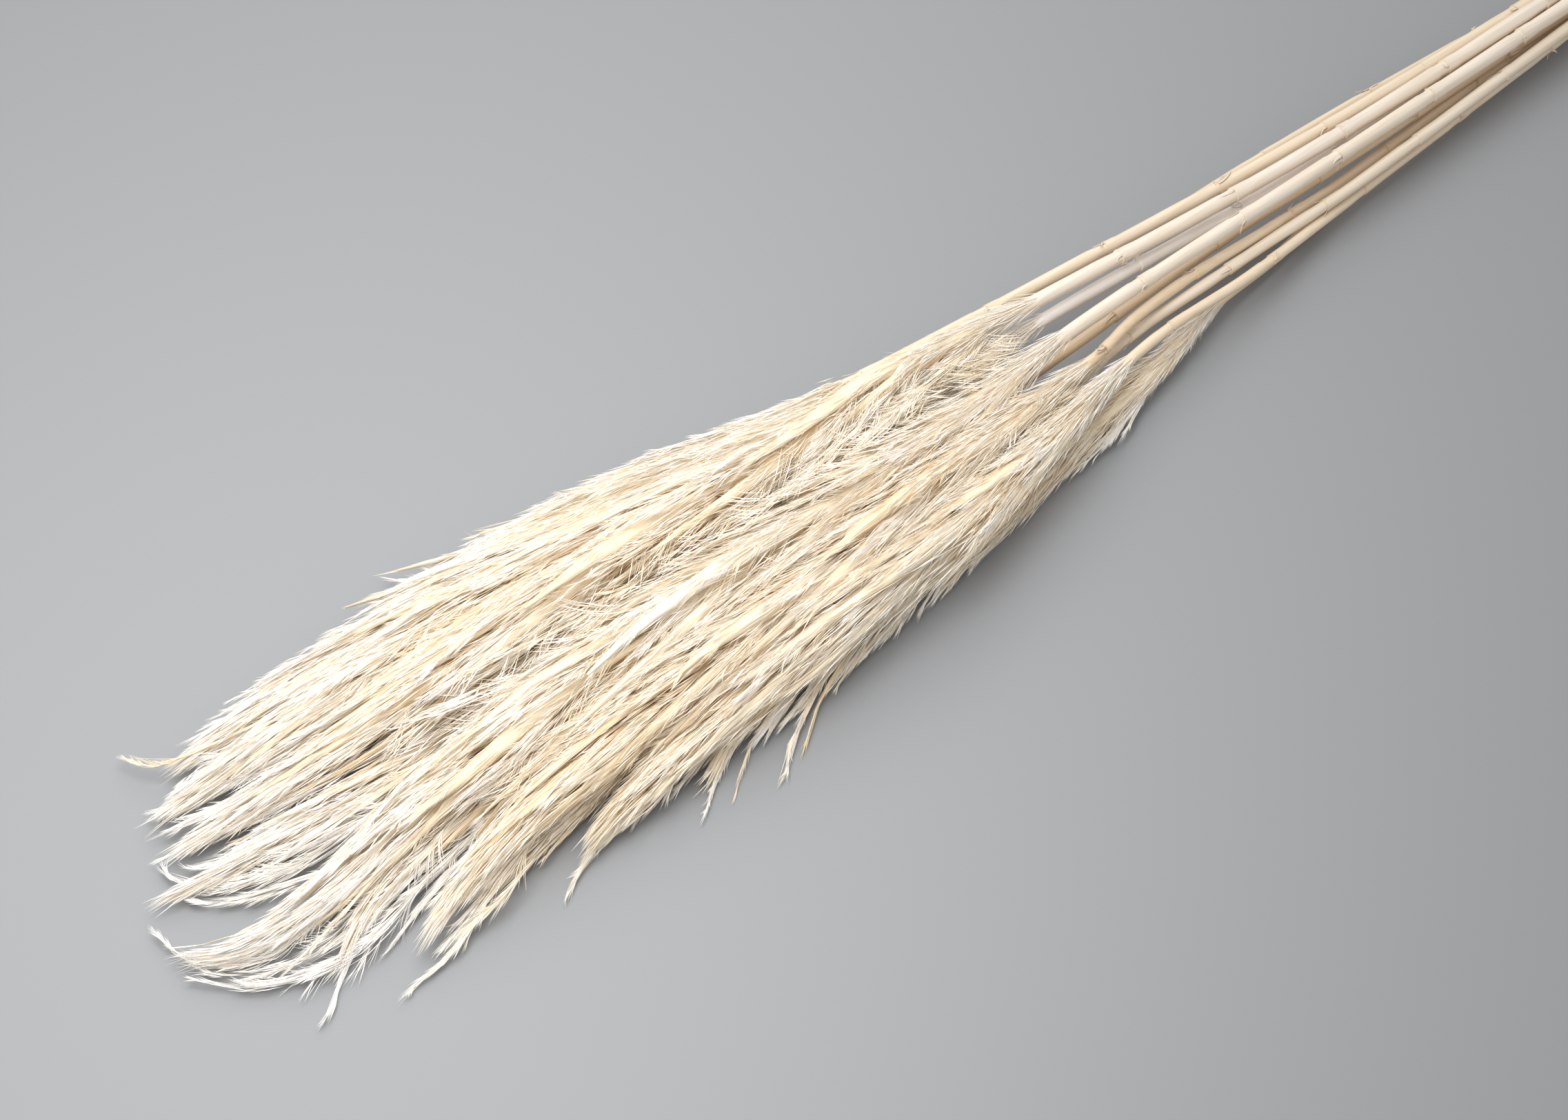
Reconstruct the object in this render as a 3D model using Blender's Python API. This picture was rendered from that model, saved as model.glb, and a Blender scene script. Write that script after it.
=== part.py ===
"""Bundle of reed plumes.

Ten dried, bleached reeds lie on a flat surface, tied near their cut ends.
Each reed is a jointed stem that runs on into one long, combed, drooping plume.
Metres, +Z up. +X runs from the tips of the plumes to the cut ends of the stems.
"""
import math
import random

import bmesh
import bpy
from mathutils import Vector

MM = 0.001
BUNDLE = "bundle_of_reed_plumes"

# The reeds, in millimetres. Each line runs from the cut end to the plume's tip,
# and the plume starts where x falls to the neck. Reach is the plume's half width,
# spacing the distance between two joints, and tips are points its outer locks run out to.
REEDS = [
    dict(name="reed_01", neck=-91, radii=(2.7, 2.2), joint=271, spacing=57, reach=13, locks=18,
         line=[(398, 11.9, 18.0), (330, 10.9, 17.4), (150, 13.0, 21.0), (0, 24.3, 22.0),
               (-91, 35.0, 20.0), (-140, 44.0, 16.0), (-205, 50.0, 14.0), (-266, 54.0, 12.0),
               (-317, 58.0, 9.0), (-360, 60.0, 5.0)],
         tips=[(-228, 73, 7), (-259, 84, 5), (-285, 75, 5), (-327, 71, 5)]),
    dict(name="reed_02", neck=-52, radii=(2.1, 1.8), joint=254, spacing=60, reach=15, locks=20,
         line=[(398, 13.7, 11.5), (330, 12.5, 11.6), (150, 22.0, 13.0), (0, 24.5, 13.0),
               (-52, 27.0, 12.5), (-91, 26.5, 17.0), (-125, 28.0, 23.0), (-202, 31.0, 25.0),
               (-271, 38.0, 20.0), (-326, 43.0, 13.0), (-376, 46.0, 5.0)],
         tips=[(-97, 53, 5), (-366, 53, 4)]),
    dict(name="reed_03", neck=-10, radii=(3.1, 2.5), joint=220, spacing=61, reach=16, locks=20,
         line=[(400, 5.9, 22.0), (330, 5.5, 21.0), (150, 5.4, 23.0), (0, 9.6, 33.0),
               (-71, 15.0, 37.0), (-121, 13.0, 36.0), (-167, 16.0, 34.0), (-226, 19.0, 30.0),
               (-285, 20.0, 23.0), (-334, 25.0, 14.0), (-380, 31.0, 5.0)],
         tips=[]),
    dict(name="reed_04", neck=-8, radii=(2.2, 1.9), joint=214, spacing=56, reach=12, locks=15,
         line=[(396, 6.1, 15.0), (330, 5.7, 14.8), (150, 5.4, 14.0), (0, 6.6, 25.0),
               (-57, 10.0, 20.0), (-105, 12.0, 14.0), (-171, 11.0, 11.0), (-243, 9.0, 10.0),
               (-308, 8.0, 9.0), (-360, 12.0, 8.0), (-392, 18.0, 5.0)],
         tips=[(-395, 30, 4)]),
    dict(name="reed_05", neck=-13, radii=(3.1, 2.5), joint=259, spacing=56, reach=16, locks=20,
         line=[(399, -1.8, 20.6), (330, -1.3, 19.8), (150, -3.6, 23.0), (0, -8.0, 31.0),
               (-62, -14.0, 32.0), (-130, -15.0, 32.0), (-194, -16.0, 30.0), (-253, -15.0, 25.0),
               (-312, -16.0, 18.0), (-360, -19.0, 11.0), (-386, -15.0, 8.0), (-400, -4.0, 5.0)],
         tips=[(-402, 6, 4), (-388, -30, 4)]),
    dict(name="reed_06", neck=-40, radii=(2.4, 2.0), joint=253, spacing=57, reach=12, locks=15,
         line=[(397, -0.4, 14.0), (330, -0.1, 13.8), (150, -1.5, 15.0), (100, -0.5, 14.5),
               (0, -4.0, 15.0), (-70, -5.0, 12.0), (-122, -6.0, 11.0), (-174, -10.0, 10.0),
               (-239, -14.0, 10.0), (-301, -20.0, 9.0), (-347, -32.0, 8.0), (-382, -55.0, 4.0)],
         tips=[]),
    dict(name="reed_07", neck=-12, radii=(2.3, 1.9), joint=235, spacing=58, reach=14, locks=20,
         line=[(398, 3.6, 8.3), (330, 3.5, 8.8), (150, -5.5, 9.5), (110, -7.5, 13.0),
               (60, -10.0, 19.5), (23, -14.0, 23.0), (0, -19.5, 25.0), (-65, -27.0, 29.0),
               (-121, -33.0, 29.0), (-183, -36.0, 26.0), (-244, -38.0, 22.0), (-300, -43.0, 16.0),
               (-345, -56.0, 8.0), (-358, -68.0, 4.0)],
         tips=[(-364, -48, 4)]),
    dict(name="reed_08", neck=2, radii=(2.5, 2.0), joint=241, spacing=55, reach=11, locks=15,
         line=[(396, -7.4, 15.5), (330, -6.3, 15.2), (150, -13.2, 14.0), (104, -13.0, 14.0),
               (63, -14.0, 15.5), (29, -14.5, 16.0), (0, -17.0, 16.0), (-53, -21.0, 13.0),
               (-111, -26.0, 11.0), (-170, -30.0, 9.0), (-231, -36.0, 8.0), (-285, -45.0, 6.0),
               (-324, -53.0, 5.0), (-340, -62.0, 4.0)],
         tips=[]),
    dict(name="reed_09", neck=4, radii=(2.1, 1.9), joint=214, spacing=60, reach=13, locks=18,
         line=[(399, -5.1, 8.8), (330, -4.3, 9.2), (150, -13.5, 8.0), (136, -15.0, 9.0),
               (81, -21.0, 14.0), (34, -24.0, 20.0), (4, -28.0, 22.0), (-42, -38.0, 24.0),
               (-94, -45.0, 25.0), (-149, -48.0, 23.0), (-197, -50.0, 18.0), (-245, -53.0, 12.0),
               (-278, -59.0, 8.0), (-296, -69.0, 4.0)],
         tips=[(-286, -54, 4)]),
    dict(name="reed_10", neck=64, radii=(2.2, 1.9), joint=248, spacing=58, reach=9, locks=14,
         line=[(397, -0.6, 3.9), (330, -0.3, 4.6), (150, -8.0, 3.6), (100, -15.0, 4.5),
               (64, -19.0, 7.0), (28, -27.0, 8.0), (-37, -35.0, 8.0), (-75, -41.0, 8.0),
               (-130, -43.0, 8.0), (-174, -46.0, 7.0), (-206, -53.0, 6.0), (-226, -62.0, 4.0)],
         tips=[(-207, -79, 4), (-240, -75, 4)]),
]

# Shift that puts the middle of the bundle's box over the origin, in millimetres
SHIFT_X = 1.0
SHIFT_Y = -2.5

# Gaps between neighbours, in millimetres
STEM_TO_PLUME = 0.3
CLEAR_OF_STEM = 0.9
CLEAR_OF_PLUME = 1.2
SEEN_PAST_TIP = 40.0

# Joints of a stem, in millimetres
RING_RISE = 0.35
RING_HALF = 1.2
STEM_SIDES_FROM = 1

# Plume: core and locks, in millimetres
CORE_SIDES = 8
CORE_STEP = 26.0
CORE_GIRTH = 0.34
CORE_TIP = 0.9
FLOOR_HALF = 0.5
FLOOR_SINK = 2.0
LOWEST_TIP = 0.0
LOCK_STATIONS = (0.0, 0.34, 0.72)
LOCK_GIRTH = (0.55, 1.0, 0.8)
LOCK_WIDE = 3.6
LOCK_THICK = 2.7
LOCK_LONG = (85.0, 140.0)
LEAST_ROOM = 4.5
GOLDEN_TURN = math.radians(137.5)

# Tie, in millimetres
TIE_X = 330.0
TIE_SIDES = 16
TIE_GAP = 0.96
TIE_TURNS = 3
TURN_WIDE = 4.0
TURN_FLAT = 2.2
TIE_THIN = 0.8
TIE_THICK = 1.5

COLOURS = {
    "stem": ((0.86, 0.76, 0.57, 1.0), 0.55),
    "plume": ((0.90, 0.80, 0.60, 1.0), 0.85),
    "tie": ((0.62, 0.46, 0.25, 1.0), 0.75),
}


def remove_everything():
    """Empty the scene."""
    for thing in list(bpy.data.objects):
        bpy.data.objects.remove(thing, do_unlink=True)


def new_collection(name):
    """A collection linked to the scene."""
    group = bpy.data.collections.new(name)
    bpy.context.scene.collection.children.link(group)
    return group


def plain_material(kind):
    """A Principled material with the colour and roughness of one kind of piece."""
    colour, roughness = COLOURS[kind]
    material = bpy.data.materials.new(kind)
    material.use_nodes = True
    shader = material.node_tree.nodes["Principled BSDF"]
    shader.inputs["Base Color"].default_value = colour
    shader.inputs["Roughness"].default_value = roughness
    shader.inputs["Metallic"].default_value = 0.0
    material.diffuse_color = colour
    return material


def slope_at(points, i):
    """Slope of the smooth curve at point i, as change of Y and Z for each unit of X."""
    before = points[max(i - 1, 0)]
    after = points[min(i + 1, len(points) - 1)]
    run = after[0] - before[0]
    return (after[1] - before[1]) / run, (after[2] - before[2]) / run


def line_at(reed, x):
    """Y and Z of a reed's centre line at x, on a smooth curve through its points."""
    points = reed["line"]
    x = min(max(x, points[-1][0]), points[0][0])
    i = 0
    while i < len(points) - 2 and points[i + 1][0] > x:
        i += 1
    a, b = points[i], points[i + 1]
    run = b[0] - a[0]
    s = (x - a[0]) / run
    start, finish = slope_at(points, i), slope_at(points, i + 1)
    place = []
    for k in (0, 1):
        place.append((2 * s**3 - 3 * s**2 + 1) * a[k + 1] + (s**3 - 2 * s**2 + s) * run * start[k]
                     + (3 * s**2 - 2 * s**3) * b[k + 1] + (s**3 - s**2) * run * finish[k])
    return place


def stem_radius(reed, x):
    """Radius of a stem at x, which steps down a little at each joint on the way to the neck."""
    thick, thin = reed["radii"]
    top = reed["line"][0][0]
    steps = max(1, round((top - reed["neck"]) / reed["spacing"]))
    passed = sum(1 for joint in joints_of(reed) if joint > x)
    return thick + (thin - thick) * min(1.0, passed / steps)


def joints_of(reed):
    """Where a reed's joints are, from the cut end to the neck."""
    top, neck, spacing = reed["line"][0][0], reed["neck"], reed["spacing"]
    first = reed["joint"] + spacing * math.floor((top - 12 - reed["joint"]) / spacing)
    joints = []
    x = first
    while x > neck + 12:
        joints.append(x)
        x -= spacing
    return joints


def plume_reach(reed, x):
    """Half width that a plume fills at x: slim at the neck, full in the middle, slim at the tip."""
    tip = reed["line"][-1][0]
    along = min(max((reed["neck"] - x) / (reed["neck"] - tip), 0.0), 1.0)
    swell = min(1.0, 0.25 + 2.6 * along)
    fade = 1.0 - 0.6 * max(0.0, (along - 0.72) / 0.28) ** 2
    return reed["reach"] * swell * fade


def walls_at(reed, x):
    """The flat walls between this reed's plume and its neighbours at x, as directions and distances."""
    y, z = line_at(reed, x)
    walls = []
    for other in REEDS:
        if other is reed or x < other["line"][-1][0] - SEEN_PAST_TIP:
            continue
        other_y, other_z = line_at(other, x)
        away = math.hypot(other_y - y, other_z - z)
        if x > other["neck"]:
            limit = away - stem_radius(other, x) - CLEAR_OF_STEM
        else:
            mine, theirs = plume_reach(reed, x), plume_reach(other, x)
            limit = away * mine / (mine + theirs) - CLEAR_OF_PLUME / 2
        walls.append(((other_y - y) / away, (other_z - z) / away, limit))
    walls.append((0.0, -1.0, z + FLOOR_SINK))
    return walls


def room(walls, across, up, girth):
    """How far a strand with this girth can go from the centre line before it meets a wall."""
    farthest = 1000.0
    for wall_across, wall_up, limit in walls:
        towards = across * wall_across + up * wall_up
        if towards > 0.01:
            farthest = min(farthest, (limit - girth) / towards)
    return max(farthest, 0.0)


def point_mm(x, y, z):
    """A point given in millimetres beside the traced lines, as a vector in metres."""
    return Vector(((x + SHIFT_X) * MM, (y + SHIFT_Y) * MM, z * MM))


def loft(name, rings, tip=None):
    """A closed mesh object through rings with equal counts, capped flat or drawn to a tip."""
    shape = bmesh.new()
    loops = [[shape.verts.new(point) for point in ring] for ring in rings]
    count = len(rings[0])
    shape.faces.new(loops[0])
    for near, far in zip(loops, loops[1:]):
        for k in range(count):
            after = (k + 1) % count
            shape.faces.new((near[k], near[after], far[after], far[k]))
    if tip is None:
        shape.faces.new(reversed(loops[-1]))
    else:
        end = shape.verts.new(tip)
        for k in range(count):
            shape.faces.new((loops[-1][k], loops[-1][(k + 1) % count], end))
    bmesh.ops.triangulate(shape, faces=shape.faces[:])
    bmesh.ops.recalc_face_normals(shape, faces=shape.faces[:])
    mesh = bpy.data.meshes.new(name)
    shape.to_mesh(mesh)
    shape.free()
    return bpy.data.objects.new(name, mesh)


def make_stem(reed, group, material):
    """A jointed stem, as one bevelled curve from its cut end to the neck of its plume."""
    top, neck = reed["line"][0][0], reed["neck"]
    stations = [(top, stem_radius(reed, top))]
    last = top
    for joint in joints_of(reed):
        middle = (last + joint) / 2
        stations.append((middle, stem_radius(reed, middle)))
        stations.append((joint + RING_HALF, stem_radius(reed, joint + RING_HALF)))
        stations.append((joint, stem_radius(reed, joint) + RING_RISE))
        stations.append((joint - RING_HALF, stem_radius(reed, joint - RING_HALF)))
        last = joint
    stations.append(((last + neck) / 2, stem_radius(reed, neck)))
    stations.append((neck, stem_radius(reed, neck)))
    curve = bpy.data.curves.new(reed["name"] + "_stem", "CURVE")
    curve.dimensions = "3D"
    curve.bevel_depth = MM
    curve.bevel_resolution = STEM_SIDES_FROM
    curve.use_fill_caps = True
    spline = curve.splines.new("POLY")
    spline.points.add(len(stations) - 1)
    for point, (x, radius) in zip(spline.points, stations):
        point.co = point_mm(x, *line_at(reed, x)).to_4d()
        point.radius = radius
    stem = bpy.data.objects.new(reed["name"] + "_stem", curve)
    curve.materials.append(material)
    group.objects.link(stem)
    return stem


def core_of(reed):
    """The slim core that a plume's locks grow from, drawn out to the plume's furthest tip."""
    start, tip = reed["neck"] - STEM_TO_PLUME, reed["line"][-1]
    steps = math.ceil((start - tip[0]) / CORE_STEP)
    rings = []
    for i in range(steps):
        x = start + (tip[0] - start) * i / steps
        y, z = line_at(reed, x)
        walls = walls_at(reed, x)
        ring = []
        for k in range(CORE_SIDES):
            turn = math.tau * (k + 0.5) / CORE_SIDES
            across, up = math.cos(turn), math.sin(turn)
            wanted = max(CORE_TIP, CORE_GIRTH * plume_reach(reed, x) * (1.0 - 0.6 * i / steps))
            if i == 0:
                wanted = stem_radius(reed, reed["neck"]) * 0.9
            out = min(wanted, room(walls, across, up, 0.0))
            ring.append(point_mm(x, y + across * out, max(z + up * out, LOWEST_TIP)))
        rings.append(ring)
    return loft(reed["name"] + "_core", rings, point_mm(*tip))


def lock_of(reed, name, start, finish, turn, bulge, flare, size):
    """One drooping lock: three-sided, rooted in the core, swept along the plume to a point."""
    across, up = math.cos(turn), math.sin(turn)
    rings = []
    for share, girth in zip(LOCK_STATIONS, LOCK_GIRTH):
        x = start + (finish - start) * share
        y, z = line_at(reed, x)
        wide, thick = LOCK_WIDE * girth * size, LOCK_THICK * girth * size
        wanted = bulge * plume_reach(reed, x) * (1.0 - (1.0 - share) ** 2) + flare * share**3
        out = min(wanted, room(walls_at(reed, x), across, up, (wide + thick) / 2))
        middle_y, middle_z = y + across * out, max(z + up * out, thick * FLOOR_HALF)
        rings.append([
            point_mm(x, middle_y - wide, middle_z - thick * FLOOR_HALF),
            point_mm(x, middle_y + wide, middle_z - thick * FLOOR_HALF),
            point_mm(x, middle_y, middle_z + thick),
        ])
    y, z = line_at(reed, finish)
    out = min(bulge * plume_reach(reed, finish) + flare, room(walls_at(reed, finish), across, up, 0.5))
    tip = point_mm(finish, y + across * out, max(z + up * out, LOWEST_TIP))
    return loft(name, rings, tip)


def rule_locks(reed, draw):
    """Start, end, direction and size of the locks that cover a plume, even on all its open sides."""
    neck, tip = reed["neck"], reed["line"][-1][0]
    span = neck - tip
    turn = draw.uniform(0.0, math.tau)
    locks = []
    for k in range(reed["locks"]):
        start = neck - 4.0 - span * 0.74 * k / reed["locks"]
        long = min(draw.uniform(*LOCK_LONG), start - tip - 2.0)
        middle = start - 0.55 * long
        walls = walls_at(reed, middle)
        for attempt in range(8):
            turn += GOLDEN_TURN
            if room(walls, math.cos(turn), math.sin(turn), 0.0) > LEAST_ROOM:
                break
        bulge = draw.uniform(0.62, 0.95)
        flare = draw.uniform(-1.0, 3.0)
        locks.append((start, start - long, turn, bulge, flare, draw.uniform(0.85, 1.15)))
    return locks


def wisp_locks(reed, draw):
    """Locks that run out to the plume's own outer tips."""
    locks = []
    for x, y, z in reed["tips"]:
        line_y, line_z = line_at(reed, x)
        out = math.hypot(y - line_y, z - line_z)
        turn = math.atan2(z - line_z, y - line_y)
        bulge = 0.8
        start = min(reed["neck"] - 6.0, x + draw.uniform(95.0, 120.0))
        locks.append((start, x, turn, bulge, out - bulge * plume_reach(reed, x), 0.8))
    return locks


def largest_piece(mesh):
    """Keep only the largest closed piece of a mesh, without loose scraps or sealed hollows."""
    shape = bmesh.new()
    shape.from_mesh(mesh)
    unseen = set(shape.verts)
    pieces = []
    while unseen:
        piece, front = set(), [unseen.pop()]
        while front:
            vertex = front.pop()
            piece.add(vertex)
            for edge in vertex.link_edges:
                other = edge.other_vert(vertex)
                if other in unseen:
                    unseen.discard(other)
                    front.append(other)
        pieces.append(piece)
    pieces.sort(key=len)
    scraps = [vertex for piece in pieces[:-1] for vertex in piece]
    bmesh.ops.delete(shape, geom=scraps, context="VERTS")
    shape.to_mesh(mesh)
    shape.free()


def make_plume(reed, group, material):
    """One plume: its core with every lock joined to it by a single union."""
    draw = random.Random(reed["name"])
    core = core_of(reed)
    group.objects.link(core)
    strands = new_collection(reed["name"] + "_locks")
    for k, lock in enumerate(rule_locks(reed, draw) + wisp_locks(reed, draw)):
        strands.objects.link(lock_of(reed, "%s_lock_%02d" % (reed["name"], k), *lock))
    union = core.modifiers.new("locks", "BOOLEAN")
    union.operation = "UNION"
    union.operand_type = "COLLECTION"
    union.collection = strands
    union.solver = "MANIFOLD"
    bpy.context.view_layer.update()
    seen = core.evaluated_get(bpy.context.evaluated_depsgraph_get())
    mesh = bpy.data.meshes.new_from_object(seen)
    largest_piece(mesh)
    mesh.materials.append(material)
    mesh.name = reed["name"] + "_plume"
    plume = bpy.data.objects.new(reed["name"] + "_plume", mesh)
    group.objects.link(plume)
    for lock in list(strands.objects):
        bpy.data.objects.remove(lock, do_unlink=True)
    bpy.data.collections.remove(strands)
    bpy.data.objects.remove(core, do_unlink=True)
    return plume


def tie_support(turn):
    """How far the stems reach from the frame's X axis towards one direction, under the tie."""
    across, up = math.cos(turn), math.sin(turn)
    half = TIE_TURNS * TURN_WIDE / 2
    reaches = []
    for reed in REEDS:
        for x in (TIE_X - half, TIE_X, TIE_X + half):
            y, z = line_at(reed, x)
            reaches.append(y * across + z * up + stem_radius(reed, x))
    return max(reaches)


def tie_ring(x, skin):
    """A closed loop round the stems at x, straight between its corners, skin outside them."""
    step = math.tau / TIE_SIDES
    ring = []
    for k in range(TIE_SIDES):
        first, second = k * step - math.pi / 2, (k + 1) * step - math.pi / 2
        a, b = tie_support(first) + skin, tie_support(second) + skin
        spread = math.sin(second - first)
        y = (a * math.sin(second) - b * math.sin(first)) / spread
        z = (b * math.cos(first) - a * math.cos(second)) / spread
        ring.append(point_mm(x, y, max(z, 0.0)))
    return ring


def make_tie(group, material):
    """A raffia band of three flat turns round the stems, closed on itself."""
    half = TIE_TURNS * TURN_WIDE / 2
    shoulder = (TURN_WIDE - TURN_FLAT) / 2
    outline = [(TIE_X - half, TIE_GAP)]
    for turn in range(TIE_TURNS):
        left = TIE_X - half + turn * TURN_WIDE
        outline.append((left, TIE_GAP + TIE_THIN))
        outline.append((left + shoulder, TIE_GAP + TIE_THICK))
        outline.append((left + shoulder + TURN_FLAT, TIE_GAP + TIE_THICK))
    outline.append((TIE_X + half, TIE_GAP + TIE_THIN))
    outline.append((TIE_X + half, TIE_GAP))
    shape = bmesh.new()
    loops = [[shape.verts.new(point) for point in tie_ring(x, skin)] for x, skin in outline]
    for near, far in zip(loops, loops[1:] + loops[:1]):
        for k in range(TIE_SIDES):
            after = (k + 1) % TIE_SIDES
            shape.faces.new((near[k], near[after], far[after], far[k]))
    bmesh.ops.triangulate(shape, faces=shape.faces[:])
    bmesh.ops.recalc_face_normals(shape, faces=shape.faces[:])
    mesh = bpy.data.meshes.new("tie")
    shape.to_mesh(mesh)
    shape.free()
    mesh.materials.append(material)
    tie = bpy.data.objects.new("tie", mesh)
    group.objects.link(tie)
    return tie


def main():
    """Build the ten reeds and their tie."""
    remove_everything()
    group = new_collection(BUNDLE)
    materials = {kind: plain_material(kind) for kind in COLOURS}
    for reed in REEDS:
        make_stem(reed, group, materials["stem"])
        make_plume(reed, group, materials["plume"])
    make_tie(group, materials["tie"])


main()
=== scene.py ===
"""Looks of the bundle of reed plumes: fine fibres on every plume, jointed culms, torn sheaths and the tie.

The reeds' lines, reaches and tips are the same driving dimensions as the frame's, in millimetres.
"""
import math
import random

import bpy
import numpy as np
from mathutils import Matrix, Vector


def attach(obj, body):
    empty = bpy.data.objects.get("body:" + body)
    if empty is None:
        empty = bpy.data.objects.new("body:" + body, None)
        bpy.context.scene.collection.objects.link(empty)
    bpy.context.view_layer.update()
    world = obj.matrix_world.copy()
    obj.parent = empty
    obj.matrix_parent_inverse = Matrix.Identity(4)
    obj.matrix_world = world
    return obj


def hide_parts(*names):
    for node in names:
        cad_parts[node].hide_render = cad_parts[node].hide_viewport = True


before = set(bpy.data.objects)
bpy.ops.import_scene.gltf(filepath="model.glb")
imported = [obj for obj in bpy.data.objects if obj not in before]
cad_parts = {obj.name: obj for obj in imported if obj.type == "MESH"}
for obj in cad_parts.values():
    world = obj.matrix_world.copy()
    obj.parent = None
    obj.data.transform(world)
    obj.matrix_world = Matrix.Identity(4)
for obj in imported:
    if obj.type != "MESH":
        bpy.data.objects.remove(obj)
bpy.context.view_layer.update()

MM = 0.001

# Least heights over the floor, in millimetres: of any point, of a hair's points, of a tress's middle
FLOOR_GAP = 0.05
HAIR_FLOOR = 0.35
TRESS_FLOOR = 1.0

# The reeds, in millimetres, from the cut end to the plume's tip. The last keys are looks only:
# tone is how white a culm is, fibre how pale its plume, tail how long the plume's thin end is,
# plump how much thicker its sheaths look, and beside names the culm that its hair leaves in sight.
REEDS = [
    dict(name="reed_01", neck=-91, radii=(2.7, 2.2), joint=271, spacing=57, reach=13, locks=18,
         line=[(398, 11.9, 18), (330, 10.9, 17.4), (150, 13, 21), (0, 24.3, 22), (-91, 35, 20),
               (-140, 44, 16), (-205, 50, 14), (-266, 54, 12), (-317, 58, 9), (-360, 60, 5)],
         tips=[(-228, 73, 7), (-259, 84, 5), (-285, 75, 5), (-327, 71, 5)], tone=0.45, fibre=0.6),
    dict(name="reed_02", neck=-52, radii=(2.1, 1.8), joint=254, spacing=60, reach=15, locks=20,
         line=[(398, 13.7, 11.5), (330, 12.5, 11.6), (150, 22, 13), (0, 24.5, 13), (-52, 27, 12.5),
               (-91, 26.5, 17), (-125, 28, 23), (-202, 31, 25), (-271, 38, 20), (-326, 43, 13),
               (-376, 46, 5)],
         tips=[(-97, 53, 5), (-366, 53, 4)], tone=0.3, fibre=0.52, beside="reed_01"),
    dict(name="reed_03", neck=-10, radii=(3.1, 2.5), joint=220, spacing=61, reach=16, locks=20,
         line=[(400, 5.9, 22), (330, 5.5, 21), (150, 5.4, 23), (0, 9.6, 33), (-71, 15, 37),
               (-121, 13, 36), (-167, 16, 34), (-226, 19, 30), (-285, 20, 23), (-334, 25, 14),
               (-380, 31, 5)],
         tips=[], tone=0.75, fibre=0.55, beside="reed_01"),
    # reed_04 has the whitest culm; its tone lies past the ramp's top, partly its own colour and partly
    # painted light that lifts it out of the shade of reed_03 above it
    dict(name="reed_04", neck=-8, radii=(2.2, 1.9), joint=214, spacing=56, reach=12, locks=15,
         line=[(396, 6.1, 15), (330, 5.7, 14.8), (150, 5.4, 14), (0, 6.6, 25), (-57, 10, 20),
               (-105, 12, 14), (-171, 11, 11), (-243, 9, 10), (-308, 8, 9), (-360, 12, 8), (-392, 18, 5)],
         tips=[(-395, 30, 4)], tone=1.15, fibre=0.6, plump=1.3),
    dict(name="reed_05", neck=-13, radii=(3.1, 2.5), joint=259, spacing=56, reach=16, locks=20,
         line=[(399, -1.8, 20.6), (330, -1.3, 19.8), (150, -3.6, 23), (0, -8, 31), (-62, -14, 32),
               (-130, -15, 32), (-194, -16, 30), (-253, -15, 25), (-312, -16, 18), (-360, -19, 11),
               (-386, -15, 8), (-400, -4, 5)],
         tips=[(-402, 6, 4), (-388, -30, 4)], tone=0.7, fibre=0.58),
    dict(name="reed_06", neck=-40, radii=(2.4, 2.0), joint=253, spacing=57, reach=12, locks=15,
         line=[(397, -0.4, 14), (330, -0.1, 13.8), (150, -1.5, 15), (100, -0.5, 14.5), (0, -4, 15),
               (-70, -5, 12), (-122, -6, 11), (-174, -10, 10), (-239, -14, 10), (-301, -20, 9),
               (-347, -32, 8), (-382, -55, 4)],
         tips=[], tone=0.2, fibre=0.45, tail=22),
    dict(name="reed_07", neck=-12, radii=(2.3, 1.9), joint=235, spacing=58, reach=14, locks=20,
         line=[(398, 3.6, 8.3), (330, 3.5, 8.8), (150, -5.5, 9.5), (110, -7.5, 13), (60, -10, 19.5),
               (23, -14, 23), (0, -19.5, 25), (-65, -27, 29), (-121, -33, 29), (-183, -36, 26),
               (-244, -38, 22), (-300, -43, 16), (-345, -56, 8), (-358, -68, 4)],
         tips=[(-364, -48, 4)], tone=0.25, fibre=0.5, tail=20),
    dict(name="reed_08", neck=2, radii=(2.5, 2.0), joint=241, spacing=55, reach=11, locks=15,
         line=[(396, -7.4, 15.5), (330, -6.3, 15.2), (150, -13.2, 14), (104, -13, 14), (63, -14, 15.5),
               (29, -14.5, 16), (0, -17, 16), (-53, -21, 13), (-111, -26, 11), (-170, -30, 9),
               (-231, -36, 8), (-285, -45, 6), (-324, -53, 5), (-340, -62, 4)],
         tips=[], tone=0.6, fibre=0.5, tail=30),
    dict(name="reed_09", neck=4, radii=(2.1, 1.9), joint=214, spacing=60, reach=13, locks=18,
         line=[(399, -5.1, 8.8), (330, -4.3, 9.2), (150, -13.5, 8), (136, -15, 9), (81, -21, 14),
               (34, -24, 20), (4, -28, 22), (-42, -38, 24), (-94, -45, 25), (-149, -48, 23),
               (-197, -50, 18), (-245, -53, 12), (-278, -59, 8), (-296, -69, 4)],
         tips=[(-286, -54, 4)], tone=0.4, fibre=0.55, tail=20),
    dict(name="reed_10", neck=64, radii=(2.2, 1.9), joint=248, spacing=58, reach=9, locks=14,
         line=[(397, -0.6, 3.9), (330, -0.3, 4.6), (150, -8, 3.6), (100, -15, 4.5), (64, -19, 7),
               (28, -27, 8), (-37, -35, 8), (-75, -41, 8), (-130, -43, 8), (-174, -46, 7), (-206, -53, 6),
               (-226, -62, 4)],
         tips=[(-207, -79, 4), (-240, -75, 4)], tone=0.35, fibre=0.5),
]

# Shift that puts the middle of the bundle's box over the origin, in millimetres
SHIFT = np.array([1.0, -2.5, 0.0])

# Gaps to the neighbours, in millimetres: below zero between plumes, because their hair interleaves
CLEAR_OF_STEM = 0.9
CLEAR_OF_PLUME = -3.0
# A neighbour's line still counts this far past its tip, in millimetres
SEEN_PAST_TIP = 40.0
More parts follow.
